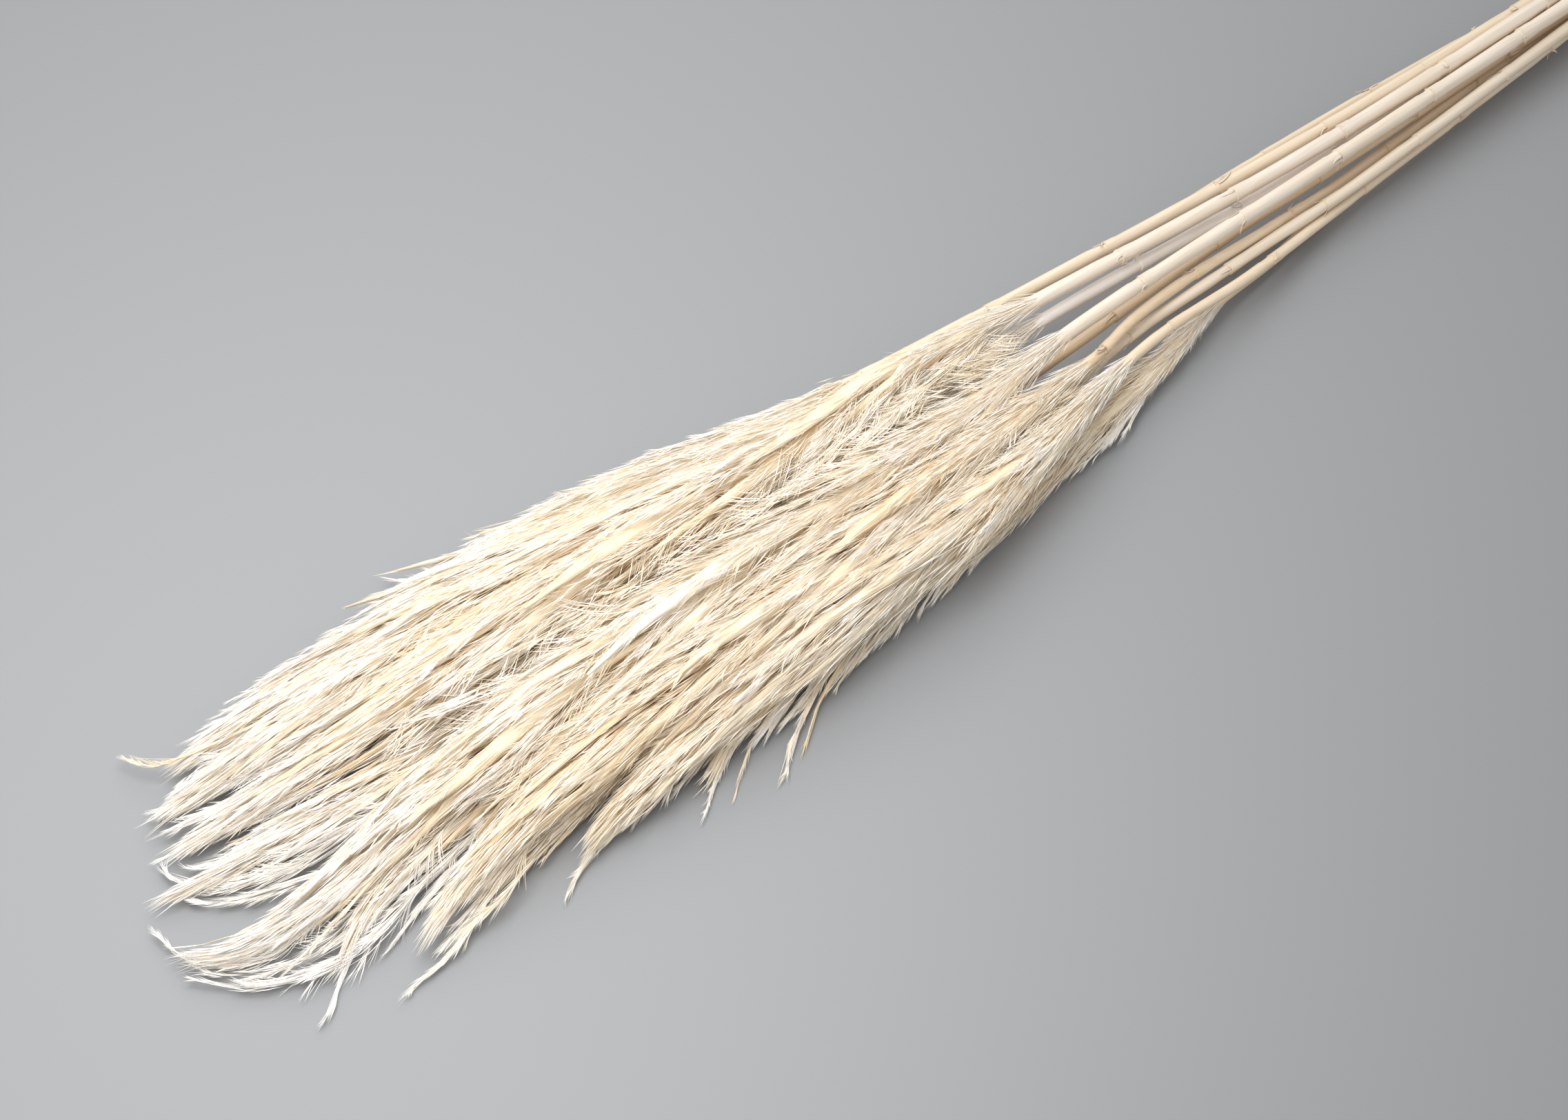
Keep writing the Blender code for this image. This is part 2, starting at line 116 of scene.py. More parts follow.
# A lock turns on, at most this often, until it has this much room, in millimetres
LEAST_ROOM = 4.5
LOCK_TRIES = 8
GOLDEN_TURN = math.radians(137.5)
# Y and Z of the direction across the bundle that is square to the photograph's line of sight
SEEN_ACROSS = (0.845, 0.535)

# Tresses: half width, thickness and length in millimetres. Locks carry the plume, sheets lie over them,
# and both start on this share of the plume's length from the neck.
LOCK_WIDE = 6.0
LOCK_THICK = 2.6
LOCK_LONG = (85.0, 140.0)
LOCK_SPREAD = 0.74
SHEET_WIDE = 5.4
SHEET_THICK = 1.1
SHEET_LONG = (48.0, 100.0)
SHEET_SPREAD = 0.86
SHEETS_PER_LOCK = 2.4
# Locks and sheets end at least this far before the plume's full body does, in millimetres
LOCK_END = (0.0, 34.0)
SHEET_END = (3.0, 40.0)
# Tresses grow narrower over the last stretch of a plume, in millimetres
TIP_TAPER = 60.0
# Points along a tress, and how far it may turn about its path, in radians
PATH_STEPS = 24
TWIST = 0.5
# The slim body under a tress's hairs, which fills these shares of its length and girth
CORE_RINGS = 9
CORE_SIDES = 5
CORE_LONG = 0.92
CORE_FILL = 0.6
CORE_LEAST = 0.12
# Hairs in a tuft, and the least share of a hair's length that lies before its tress's tip
TUFT_HAIRS = 4
BEFORE_TIP = 0.96

# Hairs round each neck: how many, and in millimetres where they start, their length, their radius and how
# far they lean out, which is FUZZ_LEAN times a share from FUZZ_OUT
FUZZ_HAIRS = 260
FUZZ_START = (-26.0, 9.0)
FUZZ_LONG = (9.0, 26.0)
FUZZ_RADIUS = (0.1, 0.19)
FUZZ_LEAN = 2.2
FUZZ_OUT = (0.2, 1.6)

# Needles all over each plume: how many, at how many places along it, how far out they start as a share
# of its reach, and how far they lean out, in millimetres
COAT_NEEDLES = 2800
COAT_PLACES = 60
COAT_DEPTH = (0.4, 1.0)
COAT_LEAN = (0.2, 2.4)

# What is added to the tone where hair is paler: past a place near the tips, and beside the neck, where it
# fades over a run in millimetres. Needles of the coat get painted shade: they are darker the deeper they
# start below COAT_EVEN.
TIP_PALE = 0.22
TIP_PALE_FROM = -255.0
TIP_PALE_RUN = 100.0
COAT_PALE = 0.28
COAT_PALE_RUN = 55.0
COAT_PAINTED_SHADE = 0.45
COAT_EVEN = 0.85
SHEET_PALE = 0.12
SHEET_PALE_RUN = 60.0
FRINGE_PALE = 0.15

# How much the soft patches along a plume change the tone
PATCH_SHARE = 0.5

# Kinds of fibre: length and radius in millimetres, how many for each millimetre of tress, how far out of
# the tress's middle the root and the tip lie, as shares of its girth, and how many points a hair has
SILK = dict(long=(30.0, 60.0), radius=(0.11, 0.19), rate=0.32, root=(0.1, 0.9), tip=(0.3, 1.0), stations=4)
NEEDLE = dict(long=(8.0, 17.0), radius=(0.14, 0.25), rate=1.9, root=(0.0, 0.75), tip=(0.7, 1.3), stations=3)
FEATHER = dict(long=(8.0, 18.0), radius=(0.10, 0.17), rate=1.1, root=(0.0, 0.5), tip=(1.0, 3.0), stations=4)
SPIKELET = dict(long=(5.0, 8.0), radius=(0.28, 0.42), rate=0.5, root=(0.3, 0.8), tip=(0.5, 1.2), stations=3)
STRAY = dict(long=(12.0, 26.0), radius=(0.08, 0.13), rate=0.03, root=(0.4, 0.9), tip=(1.3, 3.0), stations=4)

# Loose strands that leave the plumes on routes of their own: the reed, the half width in millimetres,
# the tone, and the points in millimetres beside the lines. They are the stray and the tufts of the upper
# side, the strands and hooks at the tips, the thin tails that hang at the lower side, and the strands
# beside the last neck.
WISPS = [
    ("reed_01", 0.5, 0.1, [(-288, 40, 18), (-314, 48.9, 14), (-342, 56.4, 10), (-360, 61.7, 8),
        (-366, 67.5, 7), (-369, 77.7, 5)]),
    ("reed_01", 2.6, 0.95, [(-172, 52, 17), (-197, 63.6, 13), (-209, 66, 10), (-218, 71.6, 8),
        (-229, 73.4, 6)]),
    ("reed_01", 3.0, 1.0, [(-200, 42, 18), (-220, 46, 15), (-234, 54, 11), (-241, 64.9, 8),
        (-248, 72.8, 6), (-254, 80, 5), (-257, 84.5, 5)]),
    ("reed_01", 2.2, 1.0, [(-215, 50, 14), (-232, 60, 10), (-240, 70, 7), (-243, 78, 6)]),
    ("reed_02", 4.4, 0.9, [(-320.5, 39.9, 14), (-338.2, 47.8, 10), (-349.6, 52.2, 7), (-360.2, 52.7, 5),
        (-368.7, 51.6, 4)]),
    ("reed_02", 4.4, 0.9, [(-320.5, 32.3, 12), (-341.6, 39.3, 8), (-355.5, 43.9, 6), (-367.6, 46.9, 4),
        (-375.4, 47.1, 3)]),
    ("reed_03", 4.6, 0.95, [(-324.5, 18.7, 12), (-342.9, 25.4, 8), (-356.7, 30, 6), (-367.9, 32.3, 4),
        (-377.5, 30.5, 3)]),
    ("reed_04", 4.6, 0.95, [(-319.1, 6.6, 12), (-338.3, 12.1, 8), (-352, 16.7, 6), (-364, 19.7, 4),
        (-374.1, 21.4, 3)]),
    ("reed_02", 3.0, 0.9, [(-310, 42, 20), (-335, 44, 14), (-352, 46.5, 9), (-366, 48.5, 5),
        (-377, 49.5, 4)]),
    ("reed_03", 2.8, 0.9, [(-325, 25, 17), (-350, 32, 10), (-366, 38, 6), (-381, 42, 4)]),
    ("reed_04", 2.6, 0.9, [(-320, 14, 15), (-345, 22, 8), (-366, 29, 5), (-386, 33, 4)]),
    ("reed_04", 3.4, 0.95, [(-342.3, 6.4, 8), (-355.2, 12.1, 6), (-367.6, 18.5, 4), (-375.8, 22.9, 3),
        (-379, 27.1, 3)]),
    ("reed_05", 4.2, 0.7, [(-305, -10, 15), (-322, -5, 12), (-338, -1.9, 8), (-349, -0.4, 6), (-364, 6, 4),
        (-377, 12.6, 3), (-383, 21, 3)]),
    ("reed_05", 5.0, 0.65, [(-305, -24, 14), (-325, -28, 10), (-345, -29, 7), (-362, -30.5, 5),
        (-378, -27.5, 4), (-391, -19, 3), (-398.5, -8, 3)]),
    ("reed_05", 3.4, 0.75, [(-300, -9, 18), (-333, -2.3, 12), (-348, 2.7, 8), (-362, 5.5, 5),
        (-373, 11.9, 4), (-380, 19.3, 3), (-383.5, 26, 3), (-382, 34, 4)]),
    ("reed_05", 2.8, 0.7, [(-315, -14, 12), (-338, -12, 8), (-352, -6.4, 6), (-366, 0, 4), (-379, 8, 3),
        (-385, 17, 3)]),
    ("reed_05", 3.8, 0.65, [(-305, -18, 16), (-335, -20, 10), (-355, -20.5, 6), (-376, -22.5, 4),
        (-390, -14, 3), (-398, -2, 3), (-398.5, 7, 3), (-400.5, 13, 4)]),
    ("reed_06", 3.8, 0.75, [(-318, -34, 10), (-341, -37.9, 6), (-357, -39.3, 4), (-375, -34.4, 3),
        (-388, -27, 3), (-397.6, -15, 3), (-401, -7.7, 3)]),
    ("reed_06", 3.6, 0.7, [(-285.3, -28.4, 12), (-297.9, -28.6, 8), (-319.7, -31.5, 6), (-338.2, -33.4, 4),
        (-344.4, -34.2, 3)]),
    ("reed_06", 1.4, 0.8, [(-310, -28, 10), (-330, -31, 8), (-343, -32.7, 5), (-357, -38.7, 3),
        (-366, -45, 2), (-372, -50, 2), (-380, -53.7, 2)]),
    ("reed_07", 1.5, 0.95, [(-285, -36, 12), (-302, -34.4, 8), (-314, -34.7, 5), (-327, -37.3, 3),
        (-342, -43, 2), (-350, -45.6, 2)]),
    ("reed_07", 4.4, 0.6, [(-278, -44, 13), (-297.3, -47.4, 10), (-309.9, -50.4, 6), (-322, -53.8, 4),
        (-331.4, -56.1, 3), (-337.6, -58.6, 2)]),
    ("reed_07", 1.3, 0.45, [(-290, -52, 11), (-307, -55.5, 8), (-321, -56.2, 5), (-333, -59.8, 3),
        (-342, -60.2, 2), (-352, -60.9, 2), (-358, -66.7, 2)]),
    ("reed_09", 1.9, 0.6, [(-230, -56, 9), (-248, -58.2, 7), (-259, -57.6, 5), (-271, -57.7, 3),
        (-283, -62.7, 2), (-294, -68.1, 2)]),
    ("reed_10", 1.3, 0.6, [(-150, -52, 8), (-165, -54.2, 6), (-173, -57.5, 5), (-186, -64.2, 3),
        (-192.5, -67.1, 2), (-202, -75.6, 2), (-208.6, -77.8, 2)]),
    ("reed_10", 1.2, 0.8, [(-185, -52, 8), (-195, -53.4, 6), (-204.5, -55.1, 5), (-214.6, -58.2, 3),
        (-223.6, -63.1, 2), (-231, -68.9, 2), (-237.7, -73.1, 2)]),
    ("reed_10", 1.5, 0.95, [(66, -20.5, 8), (42, -26.7, 8), (23, -30.6, 7), (4, -35.7, 6), (-15, -40.6, 5),
        (-37, -44.1, 4)]),
    ("reed_10", 1.3, 0.9, [(62, -21, 7), (37, -27.5, 7), (12, -33.5, 6), (-8, -39.8, 5), (-26, -43.5, 4)]),
    ("reed_10", 1.1, 0.9, [(48, -24.8, 7), (25, -29.6, 7), (5, -37.1, 5), (-12, -44, 4)]),
]

# Edges of the bundle, in millimetres beside the lines, where the ends of small tufts stand out like a
# fringe: side is the way they point along Y, and rise is how much higher than the edge they start
FRINGES = [
    dict(reed="reed_10", side=-1, rise=5, tufts=18, edge=[(-50, -42.5, 4), (-76, -48, 4), (-97, -51.8, 4),
         (-126, -54.7, 4), (-150, -57.4, 4), (-170, -58.8, 4), (-188, -59, 4), (-203, -59.6, 4)]),
    dict(reed="reed_09", side=-1, rise=5, tufts=6, edge=[(-203, -59.6, 4), (-219, -55.5, 4),
         (-241, -57.7, 4), (-262, -58, 4)]),
    dict(reed="reed_01", side=1, rise=-2, tufts=20, edge=[(-118, 44, 21), (-138, 49.5, 20),
         (-172, 58, 19.5), (-208, 61, 19), (-236, 62.5, 19), (-266, 64.5, 17.5), (-292, 66, 15),
         (-315, 66.5, 12.5), (-335, 66, 10), (-352, 64, 7)]),
]
# Of each tuft, in millimetres: how far back it starts, how far its end stands out, and its half width
FRINGE_BACK = (24.0, 40.0)
FRINGE_OUT = (0.0, 2.6)
FRINGE_WIDE = (1.2, 2.3)

# Valleys between neighbouring plumes, where slanting needles lie: the two reeds, the places along the
# bundle where the valley starts and ends, in millimetres, and how many tufts and longer tresses it has
VALLEYS = [
    ("reed_02", "reed_03", -42, -300, 230, 7),
    ("reed_01", "reed_02", -110, -300, 110, 3),
    ("reed_03", "reed_05", -22, -300, 190, 6),
    ("reed_07", "reed_05", -22, -280, 190, 5),
    ("reed_09", "reed_07", -12, -230, 150, 3),
    ("reed_03", "reed_05", -18, -115, 80, 4),
    ("reed_04", "reed_06", -24, -160, 90, 4),
]
# Needles in each tuft, their length, and the tresses' length and half width, in millimetres
VALLEY_NEEDLES = 5
VALLEY_NEEDLE_LONG = (9.0, 19.0)
VALLEY_TRESS_LONG = (40.0, 70.0)
VALLEY_TRESS_WIDE = (3.2, 4.8)

# Culms, in millimetres: CULM_PLUMP is their usual girth as a share of the frame's, HOLLOW_SHARE the
# hollow's at the cut end as a share of the culm's, and the tone at a joint's ring is lower by
# JOINT_DARK_AND_SHADE, partly the joint's own darker colour and partly painted shade under the ring's edge
CULM_SIDES = 16
CULM_STEP = 7.0
CULM_PLUMP = 1.05
CLEAR_OF_JOINT = 5.5
RING_HALF = 0.4
HOLLOW_SHARE = 0.55
HOLLOW_DEEP = 9.0
# The hollow at the cut end is given a dark tone, which is painted shade
HOLLOW_PAINTED_SHADE = 0.15
JOINT_DARK_AND_SHADE = 0.16
# Girth beside a joint, from the cut end's side to the plume's: shoulder, ring, waist
JOINT_PROFILE = [(5.0, 1.06), (0.8, 1.08), (0.3, 1.12), (0.1, 1.12), (0.0, 1.05), (-0.15, 0.97),
                 (-0.6, 0.96), (-5.0, 0.97)]
# Torn scraps of sheath at the joints and threads round them, in millimetres
SCRAP_LONG = (2.5, 7.0)
SCRAP_WIDE = (0.35, 0.9)
SCRAP_TAPER = np.array([1.0, 1.0, 0.9, 0.75, 0.55, 0.3, 0.08])
SCRAP_THICK = 0.09
THREAD_RADIUS = 0.17
THREAD_TAPER = np.array([0.5, 1.0, 1.0, 1.0, 1.0, 1.0, 1.0, 0.9, 0.7, 0.3])

# Tie, in millimetres: its place, its turns round the culms, its strips, its loose ends and its knot
TIE_X = 330.0
TIE_SIDES = 72
TIE_GAP = 0.96
TIE_TURNS = 3
TURN_WIDE = 4.0
TIE_STRIPS = 4
STRIP_THICK = 0.16
TIE_FLOOR = 0.35
TIE_MIDDLE = (0.0, 12.0)
TIE_ENDS = 6
END_LONG = (24.0, 46.0)
END_STEPS = 26
END_THICK = 0.14
KNOT_LIFT = 1.5
KNOT_WRAPS = 7
KNOT_STEP = 0.8
TIE_SEED = 330

# The camera looks at this point of the bundle, in millimetres beside the lines, from this side and
# height in degrees and this far off in metres
AZIMUTH = -41.0
ELEVATION = 50.0
DISTANCE = 1.10
LENS = 72.0
SENSOR = 36.0
TARGET = np.array([-150.0, -15.0, 20.0])

# Floor and lights, in metres and watts
FLOOR_WIDE = 6.0
FLOOR_GREY = (0.273, 0.280, 0.288, 1.0)
SURROUND = 0.70
KEY = dict(place=(0.33, 0.60, 0.80), target=(0.09, 0.15, 0.0), size=0.7, power=3.8, colour=(1.0, 0.99, 0.97))
FILL = dict(place=(-0.35, 0.0, 0.60), target=(-0.60, 0.30, 0.0), size=0.5, power=4.3, colour=(1.0, 1.0, 1.0))
# Between pale hairs the light bounces often, which keeps the gaps warm
BOUNCES = 16
DIFFUSE_BOUNCES = 12


def to_metres(points):
    """Points in millimetres beside the lines, as metres in the frame."""
    return (np.asarray(points, float) + SHIFT) * MM


def reed_named(name):
    """The reed with this name."""
    return next(reed for reed in REEDS if reed["name"] == name)


def slope_at(points, i):
    """Slope of the smooth curve at point i, as change of Y and Z for each unit of X."""
    before = points[max(i - 1, 0)]
    after = points[min(i + 1, len(points) - 1)]
    run = after[0] - before[0]
    return (after[1] - before[1]) / run, (after[2] - before[2]) / run


def line_at(reed, x):
    """Y and Z of a reed's centre line at x, on a smooth curve through its points."""
    points = reed["line"]
    x = min(max(x, points[-1][0]), points[0][0])
    i = 0
    while i < len(points) - 2 and points[i + 1][0] > x:
        i += 1
    a, b = points[i], points[i + 1]
    run = b[0] - a[0]
    s = (x - a[0]) / run
    start, finish = slope_at(points, i), slope_at(points, i + 1)
    place = []
    for k in (0, 1):
        place.append((2 * s**3 - 3 * s**2 + 1) * a[k + 1] + (s**3 - 2 * s**2 + s) * run * start[k]
                     + (3 * s**2 - 2 * s**3) * b[k + 1] + (s**3 - s**2) * run * finish[k])
    return place


def off_line(reed, x, turn, out):
    """A point this far from a reed's centre line at x, in the direction turn square to X."""
    y, z = line_at(reed, x)
    return (x, y + out * math.cos(turn), z + out * math.sin(turn))


def joints_of(reed):
    """Where a reed's joints are, from the cut end to the neck."""
    top, neck, spacing = reed["line"][0][0], reed["neck"], reed["spacing"]
    x = reed["joint"] + spacing * math.floor((top - 12 - reed["joint"]) / spacing)
    joints = []
    while x > neck + 12:
        joints.append(x)
        x -= spacing
    return joints


def stem_radius(reed, x):
    """Radius of a stem at x, which steps down a little at each joint on the way to the neck."""
    thick, thin = reed["radii"]
    steps = max(1, round((reed["line"][0][0] - reed["neck"]) / reed["spacing"]))
    passed = sum(1 for joint in joints_of(reed) if joint > x)
    return thick + (thin - thick) * min(1.0, passed / steps)


def body_end(reed):
    """Where a plume's full body ends and its thin tail starts."""
    return reed["line"][-1][0] + reed.get("tail", 0.0)


def plume_reach(reed, x):
    """Half width that a plume fills at x: slim at the neck, full in the middle, slim at the tip."""
    tip = body_end(reed)
    along = min(max((reed["neck"] - x) / (reed["neck"] - tip), 0.0), 1.0)
    swell = min(1.0, 0.22 + 2.1 * along)
    fade = 1.0 - 0.9 * max(0.0, (along - 0.62) / 0.38) ** 1.3
    return reed["reach"] * swell * fade


def tip_taper(reed, x):
    """How wide a tress that ends at x may be, from 1 down to a thin tail at the plume's tip."""
    return 0.25 + 0.75 * min(1.0, max(0.0, x - body_end(reed)) / TIP_TAPER)


def walls_at(reed, x):
    """The flat walls between this reed's plume and its neighbours at x, as directions and distances."""
    y, z = line_at(reed, x)
    walls = []
    for other in REEDS:
        if other is reed or x < other["line"][-1][0] - SEEN_PAST_TIP:
            continue
        other_y, other_z = line_at(other, x)
        away = math.hypot(other_y - y, other_z - z)
        if x > other["neck"]:
            limit = away - stem_radius(other, x) - CLEAR_OF_STEM
        else:
            mine, theirs = plume_reach(reed, x), plume_reach(other, x)
            limit = away * mine / (mine + theirs) - CLEAR_OF_PLUME / 2
        walls.append(((other_y - y) / away, (other_z - z) / away, limit))
    walls.append((0.0, -1.0, z + 2.0))
    if "beside" in reed:
        culm_beside = reed_named(reed["beside"])
        if x > culm_beside["neck"]:
            other_y, other_z = line_at(culm_beside, x)
            clear = (other_y - y) * SEEN_ACROSS[0] + (other_z - z) * SEEN_ACROSS[1]
            walls.append((*SEEN_ACROSS, clear - stem_radius(culm_beside, x)))
    return walls


def room(walls, across, up, girth):
    """How far a strand with this girth can go from the centre line before it meets a wall."""
    farthest = 1000.0
    for wall_across, wall_up, limit in walls:
        towards = across * wall_across + up * wall_up
        if towards > 0.01:
            farthest = min(farthest, (limit - girth) / towards)
    return max(farthest, 0.0)


def closed_rings(rings, sides, start, first, last):
    """Triangles over rings of points, which are numbered from start, closed by a point at each end."""
    end = start + (rings - 1) * sides
    triangles = []
    for k in range(sides):
        after = (k + 1) % sides
        triangles += [(first, start + after, start + k), (end + k, end + after, last)]
        for ring in range(start, end, sides):
            a, b = ring + k, ring + after
            triangles += [(a, b, b + sides), (a, b + sides, a + sides)]
    return np.array(triangles)


class Strands:
    """Collects closed strands with a tone at each point, and makes one mesh of them."""

    def __init__(self):
        self.points, self.triangles, self.tones, self.smooth = [], [], [], []
        self.count = 0

    def add(self, points, triangles, tones, smooth):
        """Adds points (n, 3) in millimetres with their triangles and tones, none under the floor."""
        points = np.array(points, float)
        points[:, 2] = np.maximum(points[:, 2], FLOOR_GAP)
        self.points.append(points)
        self.triangles.append(np.asarray(triangles, int) + self.count)
        self.tones.append(np.asarray(tones, float))
        self.smooth.append(np.full(len(triangles), smooth))
        self.count += len(points)

    def tube(self, path, side, up, wide, thick, tones, sides):
        """A closed tube round a path. Half width, thickness and tone are one value or one for each point."""
        count = len(path)
        wide, thick, tones = (np.broadcast_to(value, count) for value in (wide, thick, tones))
        turn = np.linspace(0.0, math.tau, sides, endpoint=False)
        rings = (path[:, None, :] + side[:, None, :] * (wide[:, None] * np.cos(turn))[:, :, None]
                 + up[:, None, :] * (thick[:, None] * np.sin(turn))[:, :, None])
        points = np.vstack([rings.reshape(-1, 3), path[:1], path[-1:]])
        triangles = closed_rings(count, sides, 0, count * sides, count * sides + 1)
        middle = count // 2
        along = path[middle] - path[middle - 1]
        if np.dot(np.cross(side[middle], up[middle]), along) < 0:
            triangles = triangles[:, ::-1]
        self.add(points, triangles, np.concatenate([np.repeat(tones, sides), tones[:1], tones[-1:]]), True)

    def hairs(self, stations, radii, tones):
        """Fine hairs through stations (n, k, 3) from root to tip, each a closed three-sided spindle."""
        count, steps = stations.shape[:2]
        rings = steps - 2
        along = stations[:, -1] - stations[:, 0]
        along /= np.linalg.norm(along, axis=1, keepdims=True)
        side = np.cross(along, [0.0, 0.0, 1.0])
        side /= np.maximum(np.linalg.norm(side, axis=1, keepdims=True), 0.001)
        up = np.cross(along, side)
        phase = np.arange(count) * GOLDEN_TURN
        points = np.empty((count, 3 * rings + 2, 3))
        shades = np.empty((count, 3 * rings + 2))
        points[:, 0], points[:, -1] = stations[:, 0], stations[:, -1]
        shades[:, 0], shades[:, -1] = tones[:, 0], tones[:, -1]
        for ring in range(1, rings + 1):
            girth = 1.0 if ring == 1 else 0.8
            for k in range(3):
                turn = (phase + math.tau * k / 3)[:, None]
                out = side * np.cos(turn) + up * np.sin(turn)
                points[:, 3 * ring - 2 + k] = stations[:, ring] + out * (radii * girth)[:, None]
                shades[:, 3 * ring - 2 + k] = tones[:, ring]
        shades += TIP_PALE * np.clip((TIP_PALE_FROM - points[:, :, 0]) / TIP_PALE_RUN, 0.0, 1.0)
        last = 3 * rings + 1
        one = closed_rings(rings, 3, 1, 0, last)
        triangles = one[None] + (last + 1) * np.arange(count)[:, None, None]
        self.add(points.reshape(-1, 3), triangles.reshape(-1, 3), shades.ravel(), False)

    def make(self, name, material):
        """The mesh object of everything collected."""
        points = to_metres(np.concatenate(self.points)).astype(np.float32)
        triangles = np.concatenate(self.triangles).astype(np.int32)
        mesh = bpy.data.meshes.new(name)
        mesh.vertices.add(len(points))
        mesh.vertices.foreach_set("co", points.ravel())
        mesh.loops.add(3 * len(triangles))
        mesh.loops.foreach_set("vertex_index", triangles.ravel())
        mesh.polygons.add(len(triangles))
        mesh.polygons.foreach_set("loop_start", np.arange(0, 3 * len(triangles), 3, dtype=np.int32))
        mesh.polygons.foreach_set("use_smooth", np.concatenate(self.smooth))
        tone = mesh.attributes.new("tone", "FLOAT", "POINT")
        tone.data.foreach_set("value", np.concatenate(self.tones).astype(np.float32))
        mesh.update(calc_edges=True)
        mesh.validate()
        mesh.materials.append(material)
        piece = bpy.data.objects.new(name, mesh)
        bpy.context.scene.collection.objects.link(piece)
        return piece


def directions(path):
    """The direction of a path at each of its points."""
    along = np.gradient(path, axis=0)
    return along / np.linalg.norm(along, axis=1, keepdims=True)


def frames_along(path):
    """Side and up vectors square to a path that runs mostly level."""
    along = directions(path)
    side = np.cross(along, [0.0, 0.0, 1.0])
    side /= np.linalg.norm(side, axis=1, keepdims=True)
    return side, np.cross(side, along)


def between(values, shares):
    """Values sampled at shares from 0 to 1 of an evenly spaced list of points."""
    place = np.clip(shares, 0.0, 1.0) * (len(values) - 1)
    low = np.minimum(place.astype(int), len(values) - 2)
    part = (place - low)[..., None]
    return values[low] * (1 - part) + values[low + 1] * part


def smooth_path(points, steps):
    """A smooth curve through a few points, with evenly spaced steps."""
    points = np.array(points, float)
    ends = np.vstack([2 * points[0] - points[1], points, 2 * points[-1] - points[-2]])
    curve = []
    for i in range(len(points) - 1):
        a, b, c, d = ends[i:i + 4]
        for s in np.linspace(0.0, 1.0, 12, endpoint=i == len(points) - 2):
            curve.append(0.5 * (2 * b + (c - a) * s + (2 * a - 5 * b + 4 * c - d) * s**2
                                + (3 * b - a - 3 * c + d) * s**3))
    curve = np.array(curve)
    gone = np.concatenate([[0.0], np.cumsum(np.linalg.norm(np.diff(curve, axis=0), axis=1))])
    places = np.linspace(0.0, gone[-1], steps)
    return np.stack([np.interp(places, gone, curve[:, k]) for k in range(3)], axis=1)


def tress_girth(share):
    """How full a tress is along its length, from 0 to 1: slim root, full middle, long pointed tip."""
    swell = 0.35 + 0.65 * np.clip(share / 0.25, 0.0, 1.0) ** 0.8
    fade = 1.0 - np.clip((share - 0.35) / 0.65, 0.0, 1.0) ** 1.4
    return swell * np.maximum(fade, 0.13)


